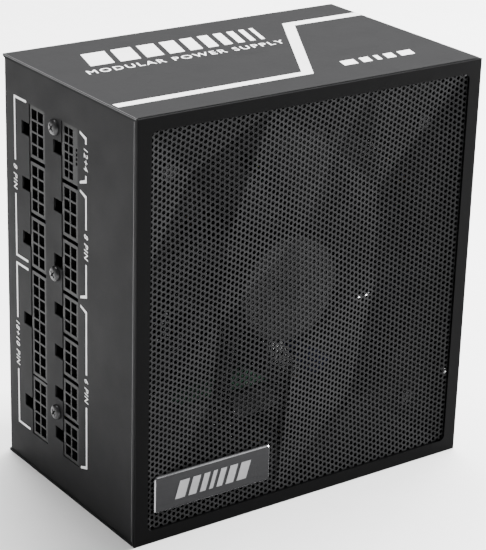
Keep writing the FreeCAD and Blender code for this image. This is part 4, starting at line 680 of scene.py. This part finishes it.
@dataclass
class MeshGrille:
    """The fan side's sheet: close rows of hexagonal holes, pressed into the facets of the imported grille."""

    pitch: float = 2.0 * MM
    hole_radius: float = 0.78 * MM
    thickness: float = 0.55 * MM
    edge: float = 0.1 * MM
    reach: float = 60.0 * MM
    step: float = 0.01 * MM
    crease: float = 8.0

    def build(self) -> bmesh.types.BMesh:
        """Makes the perforated sheet.

        Returns:
            The sheet's mesh.
        """
        self.mesh = bmesh.new()
        self.packed = surface("mesh_grille")
        self.low, self.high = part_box("mesh_grille")
        self.corners: dict[tuple[int, int], tuple[bmesh.types.BMVert, bmesh.types.BMVert]] = {}
        for x, z in self.centres():
            self.cell(x, z)
        self.close_rim([edge for edge in self.mesh.edges if len(edge.link_faces) == 1])
        return self.mesh

    def centres(self) -> Iterator[Point]:
        """The cell centres that fit the sheet.

        Yields:
            Place along X and Z of one cell.
        """
        column = self.pitch * math.sqrt(3) / 2
        radius = self.pitch / math.sqrt(3)
        columns = int((self.high.x - radius - self.edge) / column)
        middle = (self.low.z + self.high.z) / 2
        rows = int((self.high.z - self.low.z) / self.pitch)
        border = self.edge + self.pitch / 2
        for i in range(-columns, columns + 1):
            for j in range(-rows, rows + 1):
                z = middle + (j + 0.5 * (i % 2)) * self.pitch
                if self.low.z + border < z < self.high.z - border:
                    yield i * column, z

    def depth(self, x: float, z: float) -> float:
        """Where the sheet's front is at one place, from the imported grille.

        Args:
            x: place along the length.
            z: place along the height.

        Returns:
            The front's place along Y.
        """
        start = Vector((x, self.low.y - self.reach, z))
        hit = self.packed.ray_cast(start, Y)[0]
        if hit is None:
            hit = self.packed.find_nearest(Vector((x, (self.low.y + self.high.y) / 2, z)))[0]
        return hit.y

    def pair(self, x: float, z: float) -> tuple[bmesh.types.BMVert, bmesh.types.BMVert]:
        """Front and back corner at one place, shared by the cells that meet there.

        Args:
            x: place along the length.
            z: place along the height.

        Returns:
            The front and the back vertex.
        """
        key = (round(x / self.step), round(z / self.step))
        if key not in self.corners:
            y = self.depth(x, z)
            self.corners[key] = tuple(self.mesh.verts.new((x, y + back, z)) for back in (0.0, self.thickness))
        return self.corners[key]

    def cell(self, x: float, z: float) -> None:
        """Adds the web round one hole.

        Args:
            x: the hole's place along the length.
            z: the hole's place along the height.
        """
        outer, inner = [], []
        for k in range(6):
            across, up = math.cos(k * math.pi / 3), math.sin(k * math.pi / 3)
            radius = self.pitch / math.sqrt(3)
            outer.append(self.pair(x + across * radius, z + up * radius))
            inner.append(self.pair(x + across * self.hole_radius, z + up * self.hole_radius))
        for k in range(6):
            n = (k + 1) % 6
            self.mesh.faces.new((outer[k][0], outer[n][0], inner[n][0], inner[k][0]))
            self.mesh.faces.new((outer[n][1], outer[k][1], inner[k][1], inner[n][1]))
            self.mesh.faces.new((inner[k][0], inner[n][0], inner[n][1], inner[k][1]))

    def close_rim(self, rim: Sequence[bmesh.types.BMEdge]) -> None:
        """Joins front and back along the sheet's outer edge.

        Args:
            rim: the open edges.
        """
        back_of = {front: back for front, back in self.corners.values()}
        for edge in rim:
            first, second = edge.verts
            if first in back_of and second in back_of:
                self.mesh.faces.new((second, first, back_of[first], back_of[second]))

    def dress(self) -> bpy.types.Object:
        """Builds the sheet and gives it its coat.

        Returns:
            The sheet.
        """
        piece = add_piece("grille_sheet", self.build(), self.crease)
        return finish_piece(piece, CASING, "mesh_steel", Finishes.MESH_COAT, "mesh_grille")


# ---------------- screws


@dataclass
class ScrewHeads:
    """Pan-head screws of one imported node: domed head, flange, cross recess and shank."""

    node: str
    recess_span: float = 2.9 * MM
    recess_width: float = 0.62 * MM
    recess_depth: float = 0.9 * MM
    above: float = 1.0 * MM
    head_share: float = 0.5
    head_rise: float = 0.62
    shank: float = 0.5
    dome: tuple[Point, ...] = (
        (0.98, 0.0), (1.0, 0.12), (1.0, 0.34), (0.93, 0.62), (0.78, 0.84), (0.55, 0.96))

    def make(self) -> bpy.types.Object:
        """Builds the node's screws, each facing out of the side that it is driven into.

        Returns:
            The screws as one piece.
        """
        heads, crosses = bmesh.new(), bmesh.new()
        for low, high in islands(self.node):
            self.screw(heads, crosses, low, high, self.facing(low, high))
        piece = add_piece(self.node + "_heads", heads)
        carve(piece, crosses)
        slot = SLOT_OF[self.node]
        return finish_piece(piece, CASING, slot, Finishes.BY_SLOT[slot], self.node)

    def facing(self, low: Vector, high: Vector) -> Vector:
        """Which way a screw's head faces, from how it stands out of the casing.

        Args:
            low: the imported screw's lowest corner.
            high: its highest corner.

        Returns:
            The direction.
        """
        shell_low, shell_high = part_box("cover")
        ways = [(shell_low.x - low.x, -X), (high.x - shell_high.x, X), (high.y - shell_high.y, Y)]
        return max(ways, key=lambda way: way[0])[1]

    def screw(self, heads: bmesh.types.BMesh, crosses: bmesh.types.BMesh, low: Vector, high: Vector,
              out: Vector) -> None:
        """Adds one screw and the cross to cut into it.

        Args:
            heads: the mesh of the screws.
            crosses: the mesh of the crosses.
            low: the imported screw's lowest corner.
            high: its highest corner.
            out: the direction that its head faces.
        """
        size = high - low
        radius = max(size[k] for k in range(3) if abs(out[k]) < 0.5) / 2
        length = abs(size.dot(out))
        centre = (low + high) / 2
        base = centre - out * (length / 2)
        rise = min(length * self.head_share, radius * self.head_rise)
        seat = length - rise
        shank = radius * self.shank
        head = [(radius * wide, seat + rise * up) for wide, up in self.dome]
        lathe(heads, [(0.0, 0.0), (shank, 0.0), (shank, seat), *head, (0.0, length)], base, out)
        across = out.orthogonal().normalized()
        side = out.cross(across).normalized()
        span, width = self.recess_span / 2, self.recess_width / 2
        floor = base + out * (length - self.recess_depth)
        outline = []
        for ahead, left in ((across, side), (side, -across), (-across, -side), (-side, across)):
            outline += [floor + ahead * span - left * width, floor + ahead * span + left * width,
                        floor + ahead * width + left * width]
        prism(crosses, outline, out * (self.recess_depth + self.above))


# ---------------- dark strip standing in for shade in the bracket's slit


@dataclass
class SlitShadeStrip:
    """A near-black ribbed strip that fills the slit between the fan's bracket and the rear panel, standing in
    for the shade there.
    """

    clearance: float = 0.05 * MM
    ahead: float = 3.5 * MM
    behind: float = 1.2 * MM
    end_gap: float = 1.0 * MM
    ribs: int = 96
    rib_height: float = 0.15 * MM

    def make(self) -> bpy.types.Object:
        """Builds the strip with its ribbed face.

        Returns:
            The strip.
        """
        low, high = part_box("fan_bracket")
        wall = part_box("chassis_tray")[1].x
        mesh = bmesh.new()
        left, back, front = high.x + self.clearance, high.y + self.behind, high.y - self.ahead
        start, stop = low.z + self.end_gap, high.z - self.end_gap
        step = (stop - start) / self.ribs
        outline = [Vector((left, back, stop)), Vector((left, back, start))]
        for i in range(self.ribs + 1):
            lift = self.rib_height if i % 2 else 0.0
            outline.append(Vector((left, front + lift, start + i * step)))
        prism(mesh, outline, X * (wall - left - self.clearance))
        # painted shade: a near-black strip put where the slit should look dark
        return finish_piece(add_piece("bracket_slit_shade_strip", mesh), CASING, "black_nylon", Finishes.PAINTED_SHADE)


# ---------------- prints and badge


@dataclass(frozen=True)
class Face:
    """A flat face to print on: a corner, and the directions across and down from it."""

    corner: Vector
    across: Vector
    down: Vector

    @property
    def out(self) -> Vector:
        """The direction away from the face."""
        return self.down.cross(self.across)

    def at(self, across: float, down: float, lift: float = 0.0) -> Vector:
        """A point on the face or over it.

        Args:
            across: how far across from the corner.
            down: how far down from the corner.
            lift: how far above the face.

        Returns:
            The point.
        """
        return self.corner + self.across * across + self.down * down + self.out * lift


class Reading(Enum):
    """Which way a line of lettering runs on its face."""

    ACROSS = "across"
    DOWN = "down"


@dataclass
class Print:
    """Thin ink on one face: strips, slanted bars and short plain words."""

    name: str
    face: Face
    finish: Finish
    slot: str
    ink: float = 0.03 * MM
    sunk: float = 0.01 * MM
    lean: float = 0.3
    gap_share: float = 0.3
    letter_lean: float = 0.2
    letter_weight: float = 0.012
    letter_steps: int = 3

    def __post_init__(self) -> None:
        """Starts the print empty."""
        self.mesh = bmesh.new()

    def patch(self, outline: Sequence[Point]) -> None:
        """Adds a filled outline.

        Args:
            outline: its corners across and down the face.
        """
        rise = self.face.out * (self.ink + self.sunk)
        prism(self.mesh, [self.face.at(across, down, -self.sunk) for across, down in outline], rise)

    def bar(self, start: Point, stop: Point, width: float) -> None:
        """Adds a straight line of one width.

        Args:
            start: where it starts.
            stop: where it ends.
            width: how wide it is.
        """
        along = Vector(stop) - Vector(start)
        side = Vector((-along.y, along.x)).normalized() * (width / 2)
        first, second = Vector(start), Vector(stop)
        self.patch([tuple(first - side), tuple(second - side), tuple(second + side), tuple(first + side)])

    def slanted(self, area: Box, widths: Sequence[float]) -> None:
        """Adds a row of leaning bars that fills a box.

        Args:
            area: the box's left, upper, right and lower side.
            widths: the bars' widths, as shares of each other.
        """
        left, top, right, bottom = area
        shift = (bottom - top) * self.lean
        room = right - left - shift
        gap = room * self.gap_share / (len(widths) - 1)
        unit = (room - gap * (len(widths) - 1)) / sum(widths)
        at = left
        for width in widths:
            wide = unit * width
            self.patch([(at + shift, top), (at + shift + wide, top), (at + wide, bottom), (at, bottom)])
            at += wide + gap

    def words(self, text: str, centre: Point, height: float, reading: Reading, spacing: float) -> float:
        """Adds a short line of plain lettering.

        Args:
            text: the words.
            centre: the middle of the line.
            height: how tall a capital is.
            reading: the way that the line runs.
            spacing: how far letters stand apart.

        Returns:
            How long the line is.
        """
        curve = bpy.data.curves.new("line", "FONT")
        curve.body, curve.size, curve.resolution_u = text, 1.0, self.letter_steps
        curve.shear, curve.offset, curve.space_character = self.letter_lean, self.letter_weight, spacing
        line = bpy.data.objects.new("line", curve)
        bpy.context.scene.collection.objects.link(line)
        ready = line.evaluated_get(bpy.context.evaluated_depsgraph_get())
        flat = bpy.data.meshes.new_from_object(ready)
        letters = bmesh.new()
        letters.from_mesh(flat)
        bpy.data.objects.remove(line)
        bmesh.ops.remove_doubles(letters, verts=letters.verts, dist=1e-5)
        solid = bmesh.ops.extrude_face_region(letters, geom=letters.faces[:])
        raised = {item for item in solid["geom"] if isinstance(item, bmesh.types.BMVert)}
        places = [vert.co for vert in letters.verts]
        low = Vector((min(p.x for p in places), min(p.y for p in places)))
        high = Vector((max(p.x for p in places), max(p.y for p in places)))
        scale = height / (high.y - low.y)
        middle = (low + high) / 2
        for vert in letters.verts:
            along, up = (vert.co.x - middle.x) * scale, (vert.co.y - middle.y) * scale
            lift = self.ink if vert in raised else -self.sunk
            if reading is Reading.ACROSS:
                vert.co = self.face.at(centre[0] + along, centre[1] - up, lift)
            else:
                vert.co = self.face.at(centre[0] + up, centre[1] + along, lift)
        whole = bpy.data.meshes.new("line")
        letters.to_mesh(whole)
        letters.free()
        self.mesh.from_mesh(whole)
        return (high.x - low.x) * scale

    def make(self, body: str = CASING) -> bpy.types.Object:
        """Turns the print into a piece.

        Args:
            body: the body that it rides on.

        Returns:
            The piece.
        """
        return finish_piece(add_piece(self.name, self.mesh), body, self.slot, self.finish)


@dataclass
class TopPrint:
    """The white print of the top: an angled stripe, a bar motif with a plain subtitle, and a small motif."""

    left_stripe: Box = (1.5 * MM, 68.6 * MM, 76.5 * MM, 72.1 * MM)
    right_stripe: Box = (107.8 * MM, 14.6 * MM, 139.8 * MM, 18.8 * MM)
    slope_width: float = 2.5 * MM
    motif: Box = (17.8 * MM, 14.4 * MM, 93.3 * MM, 28.3 * MM)
    motif_bars: tuple[float, ...] = (7.0, 6.0, 5.2, 4.5, 3.8, 3.2, 2.6, 2.1, 1.6, 1.2)
    subtitle: str = "MODULAR POWER SUPPLY"
    subtitle_middle: Point = (52.8 * MM, 34.4 * MM)
    subtitle_height: float = 4.0 * MM
    spacing: float = 1.25
    mark: Box = (92.8 * MM, 64.6 * MM, 125.0 * MM, 69.6 * MM)
    mark_bars: tuple[float, ...] = (3.0, 2.0, 1.0, 2.0, 3.0)

    def make(self) -> bpy.types.Object:
        """Prints the top.

        Returns:
            The print.
        """
        low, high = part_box("cover")
        face = Face(Vector((low.x, high.y, high.z)), X, -Y)
        ink = Print("top_print", face, Finishes.INK, "black_steel")
        left, upper, right, lower = self.left_stripe
        start, over, end, under = self.right_stripe
        half = self.slope_width / 2
        ink.patch([(left, upper), (right - half, upper), (start - half, over), (end, over), (end, under),
                   (start + half, under), (right + half, lower), (left, lower)])
        ink.slanted(self.motif, self.motif_bars)
        ink.words(self.subtitle, self.subtitle_middle, self.subtitle_height, Reading.ACROSS, self.spacing)
        ink.slanted(self.mark, self.mark_bars)
        return ink.make()


@dataclass
class PanelPrint:
    """The connector panel's brackets, each with the pin count of the sockets that it spans."""

    stroke: float = 0.85 * MM
    letter: float = 2.4 * MM
    spacing: float = 1.2
    slope: float = 1.3 * MM
    clearance: float = 1.6 * MM
    left_line: float = 7.2 * MM
    left_stub: float = 15.3 * MM
    right_line: float = 54.4 * MM
    right_stub: float = 50.6 * MM
    left_groups: tuple[tuple[float, float, str], ...] = ((12.7, 71.2, "8 PIN"), (73.4, 135.8, "18+10 PIN"))
    right_groups: tuple[tuple[float, float, str], ...] = (
        (13.4, 31.4, "12+4"), (33.4, 71.9, "8 PIN"), (74.2, 135.5, "6 PIN"))

    def make(self) -> bpy.types.Object:
        """Prints the panel.

        Returns:
            The print.
        """
        panel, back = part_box("chassis_tray")[0].x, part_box("cover")[1]
        face = Face(Vector((panel, back.y, back.z)), -Y, -Z)
        ink = Print("panel_print", face, Finishes.INK, "black_steel")
        for top, bottom, text in self.left_groups:
            self.bracket(ink, self.left_line, self.left_stub, top * MM, bottom * MM, text, 0.0)
        for top, bottom, text in self.right_groups:
            self.bracket(ink, self.right_line, self.right_stub, top * MM, bottom * MM, text, self.slope)
        return ink.make()

    def bracket(self, ink: Print, line: float, stub: float, top: float, bottom: float, text: str,
                slope: float) -> None:
        """Adds a bracket broken by its label.

        Args:
            ink: the print.
            line: where its long line is.
            stub: how far its ends reach.
            top: its upper end.
            bottom: its lower end.
            text: the label.
            slope: how far its ends slope away from the long line's ends.
        """
        middle = (top + bottom) / 2
        length = ink.words(text, (line, middle), self.letter, Reading.DOWN, self.spacing)
        gap = length / 2 + self.clearance
        half = self.stroke / 2 if stub > line else -self.stroke / 2
        for end, sign in ((top, 1), (bottom, -1)):
            knee, break_at = end + sign * slope, middle - sign * gap
            ink.patch([(line - half, break_at), (line - half, knee), (stub, end),
                       (stub, end + sign * self.stroke), (line + half, knee + sign * self.stroke),
                       (line + half, break_at)])


@dataclass
class Badge:
    """The badge's silver motif, a row of leaning bars on its plate."""

    margin_across: float = 8.0 * MM
    margin_down: float = 3.4 * MM
    bars: tuple[float, ...] = (3.0, 2.4, 1.8, 1.2, 1.8, 2.4, 3.0)
    rise: float = 0.15 * MM

    def make(self) -> bpy.types.Object:
        """Raises the motif from the badge's plate.

        Returns:
            The motif.
        """
        low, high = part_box("badge_plate")
        face = Face(Vector((low.x, low.y, high.z)), X, -Z)
        ink = Print("badge_motif", face, Finishes.BADGE_INK, "badge_metal", ink=self.rise)
        across, down, size = self.margin_across, self.margin_down, high - low
        ink.slanted((across, down, size.x - across, size.z - down), self.bars)
        return ink.make()


@dataclass
class RockerMarks:
    """The on and off marks, a line and a ring, laid on the rocker's curved face."""

    size: float = 3.2 * MM
    stroke: float = 0.55 * MM
    ring_steps: int = 32
    from_middle: float = 5.0 * MM
    lift: float = 0.03 * MM
    rows: int = 6
    reach: float = 20.0 * MM

    def make(self) -> bpy.types.Object:
        """Lays the marks on the rocker.

        Returns:
            The marks.
        """
        low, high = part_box("switch_rocker")
        middle = (low + high) / 2
        self.rocker, self.start = surface("switch_rocker"), high.x + self.reach
        self.mesh = bmesh.new()
        half, upper, lower = self.size / 2, middle.z + self.from_middle, middle.z - self.from_middle
        rise = [upper - half + self.size * k / self.rows for k in range(self.rows + 1)]
        self.strip(*([(middle.y + side, z) for z in rise] for side in (-self.stroke / 2, self.stroke / 2)))
        turns = [2 * math.pi * k / self.ring_steps for k in range(self.ring_steps + 1)]
        self.strip(*([(middle.y + math.cos(t) * radius, lower + math.sin(t) * radius) for t in turns]
                     for radius in (half - self.stroke, half)))
        return finish_piece(add_piece("rocker_marks", self.mesh), "rocker", "rocker_plastic", Finishes.INK)

    def strip(self, first: Sequence[Point], second: Sequence[Point]) -> None:
        """Adds a thin band between two lines on the rocker's face.

        Args:
            first: one side's places along Y and Z.
            second: the other side's places.
        """
        sides = [[self.laid(point, lift) for point in line] for line in (first, second)
                 for lift in (self.lift, -self.lift)]
        over_first, under_first, over_second, under_second = sides
        for a, b in ((over_first, over_second), (under_second, under_first), (under_first, over_first),
                     (over_second, under_second)):
            for k in range(len(a) - 1):
                self.mesh.faces.new((a[k], a[k + 1], b[k + 1], b[k]))
        bmesh.ops.remove_doubles(self.mesh, verts=self.mesh.verts, dist=TINY)
        bmesh.ops.holes_fill(self.mesh, edges=[edge for edge in self.mesh.edges if len(edge.link_faces) == 1])

    def laid(self, point: Point, lift: float) -> bmesh.types.BMVert:
        """A vertex on the rocker's face.

        Args:
            point: its place along Y and Z.
            lift: how far over the face it is.

        Returns:
            The vertex.
        """
        hit = self.rocker.ray_cast(Vector((self.start, *point)), -X)[0]
        return self.mesh.verts.new(hit + X * lift)


@dataclass
class SeamLines:
    """Painted shade in the narrow gaps where top plate, connector panel and front frame meet, with painted
    highlights on their edges.
    """

    gap: float = 0.5 * MM
    # width of the painted highlight strips
    edge: float = 0.3 * MM
    plate: float = 0.8 * MM
    inset: float = 1.0 * MM

    def make(self) -> None:
        """Lays the painted shade of the gaps and the painted highlights of the edges on the connector side
        and along the top's front edge.
        """
        low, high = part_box("cover")
        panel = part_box("chassis_tray")[0].x
        depth, height, length = high.y - low.y, high.z - low.z, high.x - low.x
        side = Face(Vector((panel, high.y, high.z)), -Y, -Z)
        rim = Face(Vector((low.x, high.y, high.z)), -Y, -Z)
        top = Face(rim.corner, X, -Y)
        front = depth - self.inset
        under = self.plate + self.gap
        # painted shade: near-black strips along the gaps between the parts
        seam_shade = Print("seam_painted_shade", side, Finishes.PAINTED_SHADE, "black_steel")
        # painted highlights: lighter strips on the rounded edges beside the gaps
        edges = Print("seam_painted_highlights", side, Finishes.PAINTED_EDGE_HIGHLIGHT, "black_steel")
        seam_shade.bar((0.0, self.plate + self.gap / 2), (depth, self.plate + self.gap / 2), self.gap)
        seam_shade.bar((front, under), (front, height - under), self.gap)
        edges.bar((front - self.gap, under), (front - self.gap, height - under), self.edge)
        edges.bar((front + self.gap, under), (front + self.gap, height - under), self.edge)
        edges.face = rim
        edges.bar((0.0, self.edge), (depth, self.edge), self.edge)
        seam_shade.face = edges.face = top
        seam_shade.bar((self.inset, front + self.gap), (length - self.inset, front + self.gap), self.edge)
        edges.bar((self.edge, 0.0), (self.edge, front), self.edge)
        seam_shade.make()
        edges.make()


# ---------------- studio


@dataclass(frozen=True)
class Softbox:
    """One rectangular light."""

    name: str
    place: tuple[float, float, float]
    target: tuple[float, float, float]
    size: tuple[float, float]
    power: float

    def make(self) -> None:
        """Adds the light, facing its target."""
        data = bpy.data.lights.new(self.name, "AREA")
        data.shape, data.size, data.size_y = "RECTANGLE", *self.size
        data.energy = self.power
        light = bpy.data.objects.new(self.name, data)
        light.location = self.place
        light.rotation_euler = (Vector(self.target) - Vector(self.place)).to_track_quat("-Z", "Y").to_euler()
        bpy.context.scene.collection.objects.link(light)


@dataclass
class Studio:
    """Floor, backdrop, soft lights and camera."""

    floor_radius: float = 6.0
    floor_thickness: float = 20.0 * MM
    floor_gap: float = 0.05 * MM
    floor_sides: int = 96
    floor_finish: Finish = Finish("studio_floor", (0.9, 0.9, 0.9), 0.7, grain=300, depth=10, mottle=0.01,
                                  specular=0.2)
    surroundings: float = 0.12
    lens: float = 130.74
    sensor: float = 36.0
    camera_place: tuple[float, float, float] = (-0.3831, -0.5386, 0.3354)
    heading: float = 35.57
    tilt: float = 21.93
    roll: float = 1.68
    lights: tuple[Softbox, ...] = (
        Softbox("overhead", (0.35, 0.4, 1.3), (0.1, 0.05, 0.1), (1.2, 1.2), 85.0),
        Softbox("left", (-1.3, 0.35, 0.5), (0.0, 0.0, 0.07), (0.9, 0.9), 3.0),
        Softbox("right", (1.36, -0.27, 0.42), (0.0, -0.04, 0.07), (0.35, 0.6), 160.0),
    )

    def make(self) -> None:
        """Sets up the whole studio."""
        self.floor()
        self.surround()
        for light in self.lights:
            light.make()
        self.camera()

    def floor(self) -> None:
        """Lays a pale, slightly uneven floor just under the object."""
        mesh = bmesh.new()
        under, radius = -self.floor_thickness, self.floor_radius
        top = Z * (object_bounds()[0].z - self.floor_gap)
        lathe(mesh, [(0.0, under), (radius, under), (radius, 0.0), (0.0, 0.0)], top, Z, self.floor_sides)
        floor = add_piece("studio_floor", mesh)
        finishes.dress(floor, self.floor_finish)
        floor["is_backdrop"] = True

    def surround(self) -> None:
        """Fills the surroundings with even white light."""
        world = bpy.data.worlds.new("surroundings")
        bpy.context.scene.world = world
        world.use_nodes = True
        light = world.node_tree.nodes["Background"]
        light.inputs["Color"].default_value = (1.0, 1.0, 1.0, 1.0)
        light.inputs["Strength"].default_value = self.surroundings

    def camera(self) -> None:
        """Places the camera and makes it the scene's."""
        data = bpy.data.cameras.new("camera")
        data.lens, data.sensor_width = self.lens, self.sensor
        camera = bpy.data.objects.new("camera", data)
        heading, tilt = math.radians(self.heading), math.radians(self.tilt)
        level = math.cos(tilt)
        ahead = Vector((math.sin(heading) * level, math.cos(heading) * level, -math.sin(tilt)))
        turn = ahead.to_track_quat("-Z", "Y").to_matrix() @ Matrix.Rotation(math.radians(self.roll), 3, "Z")
        camera.location = self.camera_place
        camera.rotation_euler = turn.to_euler()
        bpy.context.scene.collection.objects.link(camera)
        bpy.context.scene.camera = camera


# ---------------- the whole object


def main() -> None:
    """Builds and dresses the object, then sets up the studio."""
    logging.basicConfig(level=logging.INFO, format="%(message)s")
    PackedParts().dress()
    MeshGrille().dress()
    for node in ("panel_screws", "casing_screws"):
        ScrewHeads(node).make()
    SlitShadeStrip().make()
    TopPrint().make()
    PanelPrint().make()
    RockerMarks().make()
    SeamLines().make()
    Badge().make()
    Studio().make()


if __name__ == "__main__":
    main()
